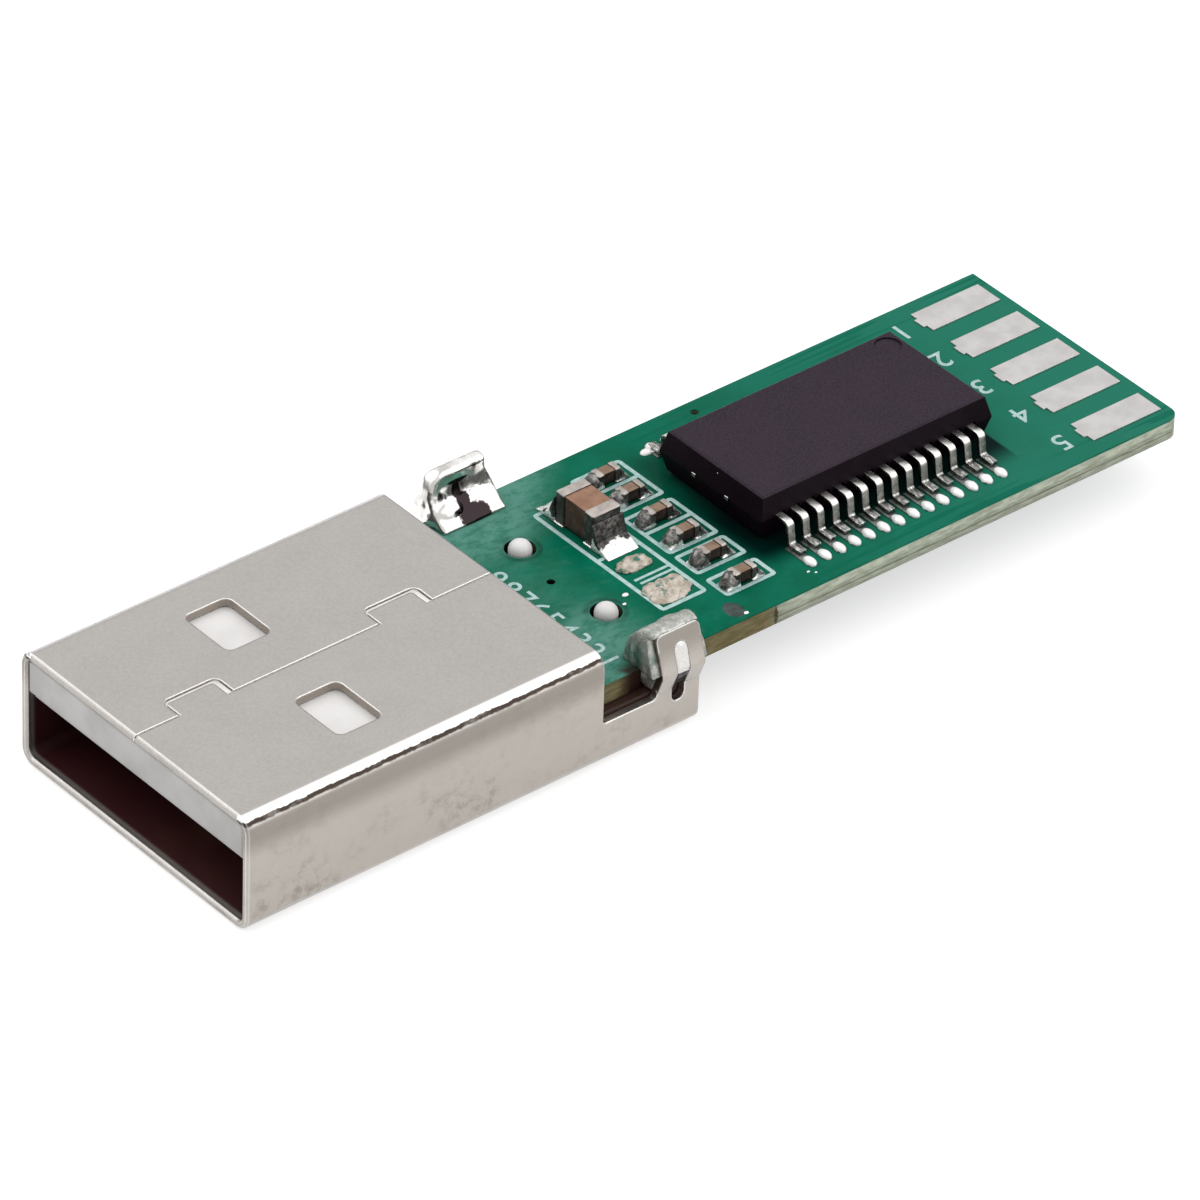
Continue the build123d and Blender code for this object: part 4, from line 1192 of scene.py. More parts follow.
class Palette:
    """All finishes of the adapter, built once and handed out by look."""

    def __init__(self) -> None:
        """Build every material."""
        finishes = [
            ShellFinish(Look.SATIN_NICKEL, (0.47, 0.445, 0.42), (0.455, 0.43, 0.41), metallic=1.0,
                        roughness=0.32, roughness_spread=0.03, grain_scale=16.0, mottle_scale=0.5,
                        bump=0.004, bump_mottle=0.2, rim_highlight_colour=(0.98, 0.97, 0.95), edge_radius=0.09,
                        speck_colour=(0.9, 0.88, 0.85), speck_density=0.35, speck_size=0.02),
            # Lighter copy of the nickel: painted highlight on the seam's floor.
            Finish(Look.SEAM_HIGHLIGHT, (0.86, 0.845, 0.82), (0.72, 0.70, 0.67), metallic=0.3, roughness=0.35,
                   grain_scale=14.0, mottle_scale=2.0, bump=0.006),
            MouldingFinish(Look.WHITE_MOULDING, (0.69, 0.675, 0.665), (0.62, 0.605, 0.595), roughness=0.5,
                           grain_scale=10.0, bump=0.004),
            BoardFinish(Look.GREEN_MASK, (0.0, 0.096, 0.050), (0.0, 0.118, 0.068), roughness=0.32,
                        roughness_spread=0.05, grain_scale=5.0, mottle_scale=0.7, bump=0.004, specular=0.025,
                        nook_shade=0.75, nook_reach=0.7),
            Finish(Look.PRINT_INK, (0.42, 0.56, 0.55), (0.30, 0.46, 0.44), roughness=0.6, grain_scale=20.0,
                   mottle_scale=4.0, bump=0.004, specular=0.2, nook_shade=0.5),
            Finish(Look.CHIP_MOULD, (0.023, 0.014, 0.023), (0.029, 0.019, 0.030), (0.005, 0.0015, 0.004),
                   roughness=0.5, grain_scale=26.0, mottle_scale=0.7, bump=0.012, specular=0.07,
                   fleck_colour=(0.060, 0.048, 0.058), fleck_share=0.35,
                   speck_colour=(0.5, 0.48, 0.47), speck_density=1.1, speck_size=0.03, edge_radius=0.05),
            LeadFinish(Look.TIN_PLATE, (0.92, 0.91, 0.88), (0.74, 0.72, 0.69), (0.20, 0.195, 0.185),
                       shaded_side_mottle=(0.34, 0.33, 0.31), metallic=1.0, roughness=0.3, grain_scale=22.0,
                       mottle_scale=3.0, bump=0.006, nook_shade=0.7, nook_reach=0.3),
            # Near-white, mostly diffuse colour: painted reflection of the lamp on the solder drops.
            Finish(Look.FROZEN_DROP, (0.97, 0.955, 0.945), (0.88, 0.85, 0.845), metallic=0.15, roughness=0.3,
                   grain_scale=10.0, mottle_scale=4.0, bump=0.01),
            Finish(Look.LEAD_FILM, (0.07, 0.095, 0.08), (0.22, 0.24, 0.22), metallic=0.5, roughness=0.45,
                   grain_scale=12.0, mottle_scale=4.0, bump=0.02, nook_shade=0.8),
            SolderFinish(Look.MIRROR_SOLDER, (0.92, 0.91, 0.89), (0.62, 0.60, 0.57), metallic=0.92,
                         roughness=0.15, roughness_spread=0.05, grain_scale=3.0, mottle_scale=1.8,
                         bump=0.02, bump_mottle=0.6,
                         dark_reflection_colour=(0.028, 0.020, 0.022), dark_share=0.2, dark_scale=1.6, softness=0.08,
                         pools=((17.62, 4.02, 0.44, 0.08), (17.50, 3.72, 0.20, 0.36),
                                (17.66, 3.34, 0.32, 0.34), (17.85, 2.95, 0.66, 0.34))),
            SolderFinish(Look.FLUX_HUMP, (0.50, 0.49, 0.455), (0.30, 0.325, 0.29), metallic=0.5,
                         roughness=0.32, roughness_spread=0.1, grain_scale=6.0, mottle_scale=4.0,
                         bump=0.06, bump_mottle=0.6,
                         dark_reflection_colour=(0.08, 0.145, 0.115), dark_share=0.7, dark_scale=2.6, softness=0.3,
                         slot_colour=(0.74, 0.72, 0.70)),
            Finish(Look.DULL_SOLDER, (0.60, 0.58, 0.55), (0.42, 0.40, 0.37), metallic=0.9, roughness=0.32,
                   roughness_spread=0.1, grain_scale=9.0, mottle_scale=2.4, bump=0.04, bump_mottle=0.5),
            FilletFinish(Look.WET_FILLET, (0.085, 0.080, 0.076), (0.27, 0.26, 0.245), metallic=0.7,
                         roughness=0.32, roughness_spread=0.1, grain_scale=9.0, mottle_scale=3.0,
                         bump=0.04, nook_shade=0.6, nook_reach=0.3),
            SolderFinish(Look.FLUX_SOLDER, (0.58, 0.52, 0.45), (0.36, 0.30, 0.23), metallic=0.15,
                         roughness=0.42, roughness_spread=0.1, grain_scale=7.0, mottle_scale=3.4,
                         bump=0.08, bump_mottle=0.5,
                         dark_reflection_colour=(0.10, 0.15, 0.11), dark_share=0.45, dark_scale=2.0, softness=0.14,
                         gap_colour=(0.04, 0.14, 0.095), gap_share=0.5),
            Finish(Look.TAN_CERAMIC, (0.30, 0.165, 0.105), (0.23, 0.12, 0.075), (0.062, 0.034, 0.024),
                   shaded_side_mottle=(0.105, 0.066, 0.047), roughness=0.42, grain_scale=12.0, mottle_scale=2.0,
                   bump=0.008, specular=0.25, nook_shade=0.6, nook_reach=0.5),
            Finish(Look.BROWN_CERAMIC, (0.25, 0.165, 0.110), (0.19, 0.12, 0.08), (0.022, 0.010, 0.008),
                   shaded_side_mottle=(0.05, 0.03, 0.024), roughness=0.42, grain_scale=14.0, mottle_scale=3.0,
                   bump=0.008, specular=0.25, nook_shade=0.5, nook_reach=0.3),
            Finish(Look.DARK_FERRITE, (0.05, 0.05, 0.052), (0.07, 0.07, 0.072), roughness=0.5,
                   grain_scale=16.0, mottle_scale=2.0, bump=0.01),
            Finish(Look.FIRED_CAP, (0.50, 0.45, 0.41), (0.36, 0.325, 0.295), (0.035, 0.030, 0.028),
                   shaded_side_mottle=(0.12, 0.112, 0.105), metallic=0.4, roughness=0.38, grain_scale=14.0,
                   mottle_scale=2.5, bump=0.02, nook_shade=0.6, nook_reach=0.5),
            Finish(Look.BARE_PAD, (0.60, 0.585, 0.575), (0.52, 0.505, 0.495), metallic=0.6, roughness=0.46,
                   roughness_spread=0.05, grain_scale=9.0, mottle_scale=1.4, bump=0.008,
                   speck_colour=(0.36, 0.35, 0.33), speck_density=0.9, speck_size=0.05),
            Finish(Look.GOLD_CONTACT, (0.83, 0.61, 0.26), (0.76, 0.54, 0.22), metallic=1.0, roughness=0.25,
                   grain_scale=12.0, mottle_scale=1.0, bump=0.005),
            Finish(Look.DARK_SMEAR, (0.006, 0.022, 0.018), (0.03, 0.05, 0.045), roughness=0.3,
                   grain_scale=9.0, mottle_scale=3.0, bump=0.05),
        ]
        self.materials = {finish.look: finish.material() for finish in finishes}

    def dress(self, obj: bpy.types.Object, look: Look) -> None:
        """Give a whole object one finish."""
        obj.data.materials.clear()
        obj.data.materials.append(self.materials[look])

    def dress_node(self, node: str, look: Look) -> None:
        """Give a CAD node one finish through its material slots.

        Args:
            node: Name of the CAD node.
            look: Finish to give it.
        """
        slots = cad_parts[node].material_slots
        if not slots:
            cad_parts[node].data.materials.append(self.materials[look])
        for slot in slots:
            slot.material = self.materials[look]


# ---------------------------------------------------------------- sub-assemblies


@dataclass
class MoltenSolder:
    """Solder that a CAD node gives as plain solids, melted into a smooth wetted form."""

    node: str
    look: Look
    voxel: float = 0.04
    rounds: int = 6
    swell: float = 0.02
    ripple: float = 0.0
    ripple_size: float = 0.4
    beads: tuple = ()
    tucked: tuple = ()

    def tuck(self, obj: bpy.types.Object) -> None:
        """Draw the corners beyond a reach from the middle and under a height back into the leg.

        Args:
            obj: Copy of the node, before it is melted.
        """
        reach, height, depth = (value * MM for value in self.tucked)
        for side in (-1, 1):
            if pick(obj, Element.VERTEX, lambda v: side * v.co.y > reach and v.co.z < height):
                bpy.ops.transform.translate(value=(0.0, -side * depth, 0.0))
            leave_edit(obj)

    def build(self, palette: Palette) -> bpy.types.Object:
        """Remesh, relax and ripple a copy of the node, and let it stand for the node.

        Args:
            palette: Finishes to dress the piece with.

        Returns:
            The melted solder.
        """
        obj = copy_node(self.node, f"{self.node}_melt")
        if self.tucked:
            self.tuck(obj)
        extras = []
        for x, y, z, along, across, up in self.beads:
            extras.append(new_ball("bead", spot(x, y, z), 1.0, (along * MM, across * MM, up * MM), 16, 10))
        if extras:
            obj = join(f"{self.node}_melt", [obj, *extras])
        modify(obj, "REMESH", mode="VOXEL", voxel_size=self.voxel * MM, adaptivity=0.0)
        modify(obj, "SMOOTH", factor=0.5, iterations=self.rounds)
        modify(obj, "DISPLACE", strength=self.swell * MM, mid_level=0.0)
        if self.ripple:
            modify(obj, "DISPLACE", strength=self.ripple * MM, mid_level=0.5,
                   texture=ripple_texture(self.ripple_size * MM), texture_coords="GLOBAL")
        trim(obj)
        shade(obj, 75.0)
        palette.dress(obj, self.look)
        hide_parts(self.node)
        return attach(obj, ROOT)


def end_mounds(name: str) -> list[tuple]:
    """Ellipsoids of solder that hide the two ends of a small capacitor.

    Args:
        name: Name of the capacitor, without its node's ending.

    Returns:
        Each mound's place and half sizes in millimetres, as MoltenSolder takes them.
    """
    low, high = (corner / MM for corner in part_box(f"{name}_caps"))
    middle = (low.y + high.y) / 2
    half = (high.y - low.y) / 2
    height = high.z - BOARD_TOP / MM
    mouth = MOUTH_X / MM
    foot = BOARD_TOP / MM
    return [
        (low.x - mouth - 0.02, middle, foot, 0.40, half + 0.05, height + 0.01),
        (high.x - mouth, middle, foot, 0.28, half + 0.02, height * 0.6),
    ]


def lead_places(slide: float) -> list[float]:
    """Work out where the leads of one side of the transceiver stand.

    Args:
        slide: Shift of the whole row along the board, in millimetres.

    Returns:
        Each lead's middle along X in the row frame.
    """
    middle = (LEADS_PER_SIDE - 1) / 2
    return [CHIP_MIDDLE.x + ((index - middle) * LEAD_PITCH + slide) * MM for index in range(LEADS_PER_SIDE)]


@dataclass
class LeadSolder:
    """Solder of the transceiver's leads: a thin film along each foot and a frozen drop at its toe."""

    slide: float = -0.2
    film_width: float = 0.36
    film_height: float = 0.045
    film_start: float = 3.3
    film_short: float = 0.1
    film_rounding: float = 0.03
    drop_width: float = 0.37
    near_drop: float = 0.60
    far_drop: float = 0.36
    drop_height: float = 0.16
    buried: float = 0.03
    ripple: float = 0.05
    ripple_size: float = 0.3

    def film(self, x: float, start: float, end: float) -> bpy.types.Object:
        """Film on one pad between two places along Y, in metres.

        Args:
            x: Middle of the film along X.
            start: One end along Y.
            end: The other end along Y.

        Returns:
            The film.
        """
        half = self.film_width * MM / 2
        film = new_box("film", (x - half, min(start, end), BOARD_TOP - self.buried * MM),
                       (x + half, max(start, end), BOARD_TOP + self.film_height * MM))
        modify(film, "BEVEL", width=self.film_rounding * MM, segments=2)
        return film

    def drop(self, x: float, middle: float, length: float) -> bpy.types.Object:
        """Flattened drop with its middle at a place along Y.

        Args:
            x: Middle of the drop along X, in metres.
            middle: Middle along Y, in metres.
            length: Length along Y, in millimetres.

        Returns:
            The drop.
        """
        half_sizes = (self.drop_width * MM / 2, length * MM / 2, self.drop_height * MM)
        drop = new_ball("drop", (x, middle, BOARD_TOP + self.buried * MM), 1.0, half_sizes, 20, 12)
        cut_below(drop, BOARD_TOP - self.buried * MM)
        return drop

    def build(self, palette: Palette) -> list[bpy.types.Object]:
        """Lay the films and the drops along both rows of leads.

        Args:
            palette: Finishes to dress the piece with.

        Returns:
            The joined films and the joined drops.
        """
        low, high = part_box("transceiver_solder")
        films, drops = [], []
        for x in lead_places(self.slide):
            for side, toe, length in ((-1, low.y, self.near_drop), (1, high.y, self.far_drop)):
                start = CHIP_MIDDLE.y + side * self.film_start * MM
                films.append(self.film(x, start, toe - side * self.film_short * MM))
                drops.append(self.drop(x, toe - side * length * MM / 2, length))
        film = join("lead_films", films)
        drop = join("lead_drops", drops)
        modify(drop, "DISPLACE", strength=self.ripple * MM, mid_level=0.5,
               texture=ripple_texture(self.ripple_size * MM), texture_coords="GLOBAL")
        shade(film)
        shade(drop, 60.0)
        palette.dress(film, Look.LEAD_FILM)
        palette.dress(drop, Look.FROZEN_DROP)
        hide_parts("transceiver_solder")
        return [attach(film, ROOT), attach(drop, ROOT)]


@dataclass
class TongueFront:
    """Moulded front of the tongue, which fills the mouth from wall to wall and ends close to its rim."""

    side_gap: float = 0.32
    front: float = 0.06
    length: float = 0.6
    rounding: float = 0.14

    def build(self, palette: Palette) -> bpy.types.Object:
        """Make one bar with rounded edges across the mouth.

        Args:
            palette: Finishes to dress the piece with.

        Returns:
            The bar.
        """
        low_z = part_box("outer_contact_near")[1].z / MM
        high_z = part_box("plug_shell")[1].z / MM - self.side_gap
        reach = SHELL_HALF / MM - self.side_gap
        bar = new_box("tongue_front", spot(self.front, -reach, low_z),
                      spot(self.front + self.length, reach, high_z))
        modify(bar, "BEVEL", width=self.rounding * MM, segments=3)
        palette.dress(shade(bar), Look.WHITE_MOULDING)
        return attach(bar, ROOT)


@dataclass
class SeamFloor:
    """Rolled metal seen at the bottom of the roof's seam and of its two notches, lighter than the nickel as
    painted highlight.
    """

    seam_y: float = -0.1
    seam_width: float = 0.1
    notch_starts: tuple = (1.82, 10.07)
    notch_length: float = 2.2
    notch_reach: float = 0.92
    below_roof: float = 0.035
    depth: float = 0.2
    step: float = 0.02
    rounding: float = 0.02
    front: float = 0.12
    rear_gap: float = 0.05

    def build(self, palette: Palette) -> bpy.types.Object:
        """Lay one strip under the seam and one plate under each notch.

        Args:
            palette: Finishes to dress the piece with.

        Returns:
            The strip and plates as one piece.
        """
        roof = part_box("plug_shell")[1].z / MM
        top, bottom = roof - self.below_roof, roof - self.below_roof - self.depth
        half = self.seam_width / 2
        pieces = [new_box("seam", spot(self.front, self.seam_y - half, bottom),
                          spot(ROOF_LENGTH / MM - self.rear_gap, self.seam_y + half, top))]
        for start in self.notch_starts:
            end = start + self.notch_length
            pieces.append(new_box("notch", spot(start, self.seam_y - half, bottom + self.step),
                                  spot(end, self.seam_y + self.notch_reach, top - self.step)))
        for piece in pieces:
            modify(piece, "BEVEL", width=self.rounding * MM, segments=2)
        floor = shade(join("seam_floor", pieces))
        palette.dress(floor, Look.SEAM_HIGHLIGHT)
        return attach(floor, ROOT)


@dataclass
class FormedLeads:
    """Gull-wing leads of the transceiver, each bent from one flat strip."""

    width: float = 0.3
    thickness: float = 0.15
    root: float = 2.55
    shoulder: float = 3.08
    reach: float = 3.96
    slide: float = -0.12
    bend_radius: float = 0.17
    bend_angle: float = 82.0
    edge: float = 0.03
    tie_offset: float = 0.85
    tie_width: float = 0.2
    tie_depth: float = 0.06
    tie_rounding: float = 0.02
    tie_proud: float = 0.01

    def tie_end(self, middle: Vector) -> bpy.types.Object:
        """Cut end of a tie bar, flush in the chip's short end, with its corners broken.

        Args:
            middle: Middle of the cut end, in metres.

        Returns:
            The cut end.
        """
        half = Vector((self.tie_depth / 2, self.tie_width / 2, self.thickness / 2)) * MM
        end = new_box("tie_end", middle - half, middle + half)
        modify(end, "BEVEL", width=self.tie_rounding * MM, segments=2)
        return shade(end)

    def strip(self) -> bpy.types.Object:
        """Bend one lead along +Y from a flat strip whose middle surface is drawn out by operators.

        Returns:
            The bent lead, centred on X.
        """
        low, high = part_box("transceiver_leads")
        middle_z = high.z - self.thickness * MM / 2
        foot_z = low.z + self.thickness * MM / 2
        half = self.width * MM / 2
        bpy.ops.mesh.primitive_plane_add(size=1.0)
        obj = named("lead")
        obj.scale = (2 * half, (self.shoulder - self.root) * MM, 1.0)
        obj.location = (0.0, (self.shoulder + self.root) * MM / 2, middle_z)
        settle(obj)
        tip = self.shoulder * MM
        radius = self.bend_radius * MM
        angle = math.radians(self.bend_angle)
        drop = middle_z - foot_z - 2 * radius * (1 - math.cos(angle))
        straight = drop / math.sin(angle)
        pick(obj, Element.EDGE, lambda e: all(abs(v.co.y - tip) < 1e-7 for v in e.verts))
        bpy.ops.mesh.spin(steps=5, angle=angle, center=(0.0, tip, middle_z - radius), axis=(1.0, 0.0, 0.0))
        down = Vector((0.0, math.cos(angle), -math.sin(angle))) * straight
        bpy.ops.mesh.extrude_region_move(TRANSFORM_OT_translate={"value": down})
        end_y = tip + radius * math.sin(angle) + down.y
        end_z = middle_z - radius * (1 - math.cos(angle)) + down.z
        centre = (0.0, end_y + radius * math.sin(angle), end_z + radius * math.cos(angle))
        bpy.ops.mesh.spin(steps=5, angle=-angle, center=centre, axis=(1.0, 0.0, 0.0))
        foot_start = end_y + radius * math.sin(angle)
        length = self.reach * MM - foot_start
        bpy.ops.mesh.extrude_region_move(TRANSFORM_OT_translate={"value": (0.0, length, 0.0)})
        bpy.ops.mesh.select_all(action="SELECT")
        bpy.ops.mesh.remove_doubles(threshold=0.001 * MM)
        bpy.ops.mesh.normals_make_consistent(inside=False)
        leave_edit(obj)
        modify(obj, "SOLIDIFY", thickness=self.thickness * MM, offset=0.0)
        modify(obj, "BEVEL", width=self.edge * MM, segments=2, limit_method="ANGLE",
               angle_limit=math.radians(50))
        return shade(obj)

    def build(self, palette: Palette) -> bpy.types.Object:
        """Copy the bent lead along both sides of the chip, with the tie bars' ends.

        Args:
            palette: Finishes to dress the piece with.

        Returns:
            All leads and tie-bar ends as one piece.
        """
        lead = self.strip()
        copies = []
        for x in lead_places(self.slide):
            place = Matrix.Translation((x, CHIP_MIDDLE.y, 0.0))
            copies.append(duplicate(lead, place))
            copies.append(duplicate(lead, place @ Matrix.Rotation(math.pi, 4, "Z")))
        bpy.data.objects.remove(lead)
        for side in (CHIP_LOW.x - self.tie_proud * MM, CHIP_HIGH.x + self.tie_proud * MM):
            for across in (-self.tie_offset, self.tie_offset):
                copies.append(self.tie_end(Vector((side, CHIP_MIDDLE.y + across * MM, CHIP_MIDDLE.z))))
        leads = join("formed_leads", copies)
        palette.dress(leads, Look.TIN_PLATE)
        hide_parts("transceiver_leads")
        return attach(leads, ROOT)


@dataclass
class ChipPart:
    """Ceramic capacitor with rounded edges: a block between two fired end caps."""

    name: str
    look: Look
    block_rounding: float = 0.015
    cap_rounding: float = 0.02

    def rounded(self, node: str, look: Look, rounding: float, palette: Palette) -> bpy.types.Object:
        """Copy one CAD node of the part, cleaned to flat faces, with its edges rounded.

        Args:
            node: Name of the CAD node.
            look: Finish to give it.
            rounding: Width of the rounded edges in millimetres.
            palette: Finishes to dress the piece with.

        Returns:
            The rounded copy.
        """
        obj = copy_node(node, node.replace("_caps", "_ends").replace("_body", "_block"))
        pick(obj, Element.FACE, lambda f: True)
        bpy.ops.mesh.dissolve_limited(angle_limit=math.radians(2))
        leave_edit(obj)
        modify(obj, "BEVEL", width=rounding * MM, segments=2, limit_method="ANGLE",
               angle_limit=math.radians(20))
        shade(obj)
        palette.dress(obj, look)
        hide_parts(node)
        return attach(obj, ROOT)

    def build(self, palette: Palette) -> list[bpy.types.Object]:
        """Round the block and the caps.

        Args:
            palette: Finishes to dress the piece with.

        Returns:
            The block and the caps.
        """
        block = self.rounded(f"{self.name}_body", self.look, self.block_rounding, palette)
        caps = self.rounded(f"{self.name}_caps", Look.FIRED_CAP, self.cap_rounding, palette)
        return [block, caps]


@dataclass
class BoardPrint:
    """Frames of printed ink round the small parts, as thin raised lines with cut corners."""

    line: float = 0.165
    height: float = 0.012
    corner: float = 0.14
    wide_frame_x: tuple = (19.50, 21.30)
    wide_frame_y: tuple = (-3.32, 3.38)
    wide_divider_y: tuple = (0.02, 0.18)
    bridge_marks: tuple = ((19.78, -1.56, -1.44), (19.84, -1.81, -1.69))
    small_frame_x: tuple = (21.73, 23.76)
    small_frames_y: tuple = ((1.83, 4.14), (-1.0, 1.38), (-2.45, -1.33), (-3.98, -2.96))
    small_dividers_y: tuple = (3.08, 0.31)

    def bar(self, x: tuple, y: tuple) -> bpy.types.Object:
        """One inked bar between two limits along X and Y.

        Args:
            x: Start and end along X in millimetres.
            y: Start and end along Y in millimetres.

        Returns:
            The bar.
        """
        low = spot(x[0], y[0], 0.0)
        high = spot(x[1], y[1], 0.0)
        return new_box("ink", (low.x, low.y, BOARD_TOP), (high.x, high.y, BOARD_TOP + self.height * MM))

    def ring(self, x: tuple, y: tuple) -> bpy.types.Object:
        """One inked rectangle with cut corners, drawn along the middle of its lines.

        Args:
            x: Start and end along X in millimetres.
            y: Start and end along Y in millimetres.

        Returns:
            The rectangle.
        """
        half = self.line / 2
        low = spot(x[0] - half, y[0] - half, 0.0)
        high = spot(x[1] + half, y[1] + half, 0.0)
        bpy.ops.mesh.primitive_plane_add(size=1.0)
        obj = named("ink")
        obj.scale = (high.x - low.x, high.y - low.y, 1.0)
        obj.location = ((low.x + high.x) / 2, (low.y + high.y) / 2, BOARD_TOP)
        settle(obj)
        pick(obj, Element.VERTEX, lambda v: True)
        bpy.ops.mesh.bevel(offset=self.corner * MM, segments=2, affect="VERTICES")
        bpy.ops.mesh.select_mode(type="FACE")
        bpy.ops.mesh.select_all(action="SELECT")
        bpy.ops.mesh.inset(thickness=self.line * MM, depth=0.0, use_even_offset=True)
        bpy.ops.mesh.delete(type="FACE")
        bpy.ops.mesh.select_all(action="SELECT")
        bpy.ops.mesh.extrude_region_move(TRANSFORM_OT_translate={"value": (0.0, 0.0, self.height * MM)})
        bpy.ops.mesh.select_all(action="SELECT")
        bpy.ops.mesh.normals_make_consistent(inside=False)
        leave_edit(obj)
        return obj

    def build(self, palette: Palette) -> bpy.types.Object:
        """Draw all frames and join them.

        Args:
            palette: Finishes to dress the piece with.

        Returns:
            The joined frames.
        """
        half = self.line / 2
        small_inner = (self.small_frame_x[0] + half, self.small_frame_x[1] - half)
        wide_inner = (self.wide_frame_x[0] + half, self.wide_frame_x[1] - half)
        pieces = [self.ring(self.small_frame_x, y) for y in self.small_frames_y]
        pieces.append(self.ring(self.wide_frame_x, self.wide_frame_y))
        pieces += [self.bar(small_inner, (y - half, y + half)) for y in self.small_dividers_y]
        pieces.append(self.bar(wide_inner, self.wide_divider_y))
        pieces += [self.bar((start, wide_inner[1]), (low, high)) for start, low, high in self.bridge_marks]
        ink = join("board_print", pieces)
        palette.dress(ink, Look.PRINT_INK)
        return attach(ink, ROOT)


@dataclass
class PrintedNumbers:
    """Plain numbers in printed ink: one at each wire pad, and a row that the roof's edge half hides."""

    height: float = 0.012
    pad_size: float = 1.25
    offset: float = 0.012
    pads: int = 5
    pad_width: float = 1.18
    label_x: float = 36.36
    label_aside: float = 0.42
    row_count: int = 9
    row_size: float = 1.2
    row_x: float = 15.83
    row_start: float = 1.4
    row_pitch: float = 0.73

    def number(self, text: str, place: Vector, size: float, turn: float) -> bpy.types.Object:
        """Write one number flat on the board.

        Args:
            text: Digits to write.
            place: Middle of the number's foot.
            size: Size of the type in millimetres.
            turn: Turn about Z in degrees.

        Returns:
            The number as a mesh.
        """
        bpy.ops.object.text_add()
        obj = bpy.context.object
        obj.data.body = text
        obj.data.align_x = "CENTER"
        obj.data.size = size * MM
        obj.data.extrude = self.height * MM / 2
        obj.data.offset = self.offset * MM
        obj.data.resolution_u = 3
        obj.location = place + Vector((0.0, 0.0, self.height * MM / 2))
        obj.rotation_euler = (0.0, 0.0, math.radians(turn))
        select_only(obj)
        bpy.ops.object.convert(target="MESH")
        obj = named("number")
        settle(obj)
        bpy.ops.object.mode_set(mode="EDIT")
        bpy.ops.mesh.select_all(action="SELECT")
        bpy.ops.mesh.remove_doubles(threshold=0.001 * MM)
        bpy.ops.mesh.normals_make_consistent(inside=False)
        bpy.ops.object.mode_set(mode="OBJECT")
        return obj

    def build(self, palette: Palette) -> bpy.types.Object:
        """Write all numbers and join them.

        Args:
            palette: Finishes to dress the piece with.

        Returns:
            The joined numbers.
        """
        low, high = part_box("wire_pads_upper")
        step = (high.y - low.y - self.pad_width * MM) / (self.pads - 1)
        pieces = []
        for index in range(self.pads):
            y = high.y - self.pad_width / 2 * MM - index * step
            place = Vector((MOUTH_X + self.label_x * MM, y + self.label_aside * MM, BOARD_TOP))
            pieces.append(self.number(str(index + 1), place, self.pad_size, 180.0))
        for index in range(self.row_count):
            place = spot(self.row_x, self.row_start - index * self.row_pitch, BOARD_TOP / MM)
            pieces.append(self.number(str(self.row_count - index), place, self.row_size, -90.0))
        numbers = join("printed_numbers", pieces)
        palette.dress(numbers, Look.PRINT_INK)
        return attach(numbers, ROOT)


@dataclass
class StraySolder:
    """Small frozen drops and one dark smear that soldering by hand left on the board."""

    drops: tuple = ((19.05, -1.91, 0.1), (18.7, -2.29, 0.06), (21.58, -5.12, 0.08), (24.72, -4.6, 0.05),
                    (24.9, -4.78, 0.04), (18.4, -4.2, 0.05), (24.85, 3.98, 0.2), (25.05, 3.85, 0.13))
    flattened: tuple = (1.25, 0.9, 0.45)
    smear: tuple = (21.02, 21.7, -4.32, -5.18)
    smear_height: float = 0.04
    tolerance: float = 0.0001

    def drop(self, x: float, y: float, radius: float) -> bpy.types.Object:
        """Flattened drop, lying on the board.

        Args:
            x: Place behind the mouth in millimetres.
            y: Place across the board.
            radius: Radius in millimetres.

        Returns:
            The drop.
        """
        obj = new_ball("drop", spot(x, y, BOARD_TOP / MM), radius * MM, self.flattened, 14, 8)
        cut_below(obj, BOARD_TOP - self.tolerance * MM)
        return shade(obj, 60.0)

    def build(self, palette: Palette) -> list[bpy.types.Object]:
        """Lay the drops and the smear.

        Args:
            palette: Finishes to dress the piece with.

        Returns:
            The joined drops and the smear.
        """
        drops = join("stray_solder", [self.drop(*drop) for drop in self.drops])
        palette.dress(drops, Look.FROZEN_DROP)
        x0, x1, y0, y1 = self.smear
        middle = spot((x0 + x1) / 2, (y0 + y1) / 2, BOARD_TOP / MM)
        half_sizes = ((x1 - x0) / 2 * MM, (y0 - y1) / 2 * MM, self.smear_height * MM)
        smear = new_ball("dark_smear", middle, 1.0, half_sizes, 32, 16)
        modify(smear, "DISPLACE", strength=0.1 * MM, mid_level=0.5, texture=ripple_texture(0.25 * MM),
               texture_coords="GLOBAL", direction="Y")
        cut_below(smear, BOARD_TOP - self.tolerance * MM)
        shade(smear, 60.0)
        palette.dress(smear, Look.DARK_SMEAR)
        return [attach(drops, ROOT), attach(smear, ROOT)]


@dataclass(frozen=True)
class SoftLamp:
    """Square soft lamp that faces the object: its place and size in metres, its power in watts."""

    name: str
    place: tuple
    size: float
    power: float

    def add(self) -> None:
        """Put the lamp into the scene."""
        data = bpy.data.lights.new(self.name, "AREA")
        data.size = self.size
        data.energy = self.power
        lamp = bpy.data.objects.new(self.name, data)
        lamp.location = self.place
        lamp.rotation_euler = (-Vector(self.place)).to_track_quat("-Z", "Y").to_euler()
        bpy.context.scene.collection.objects.link(lamp)


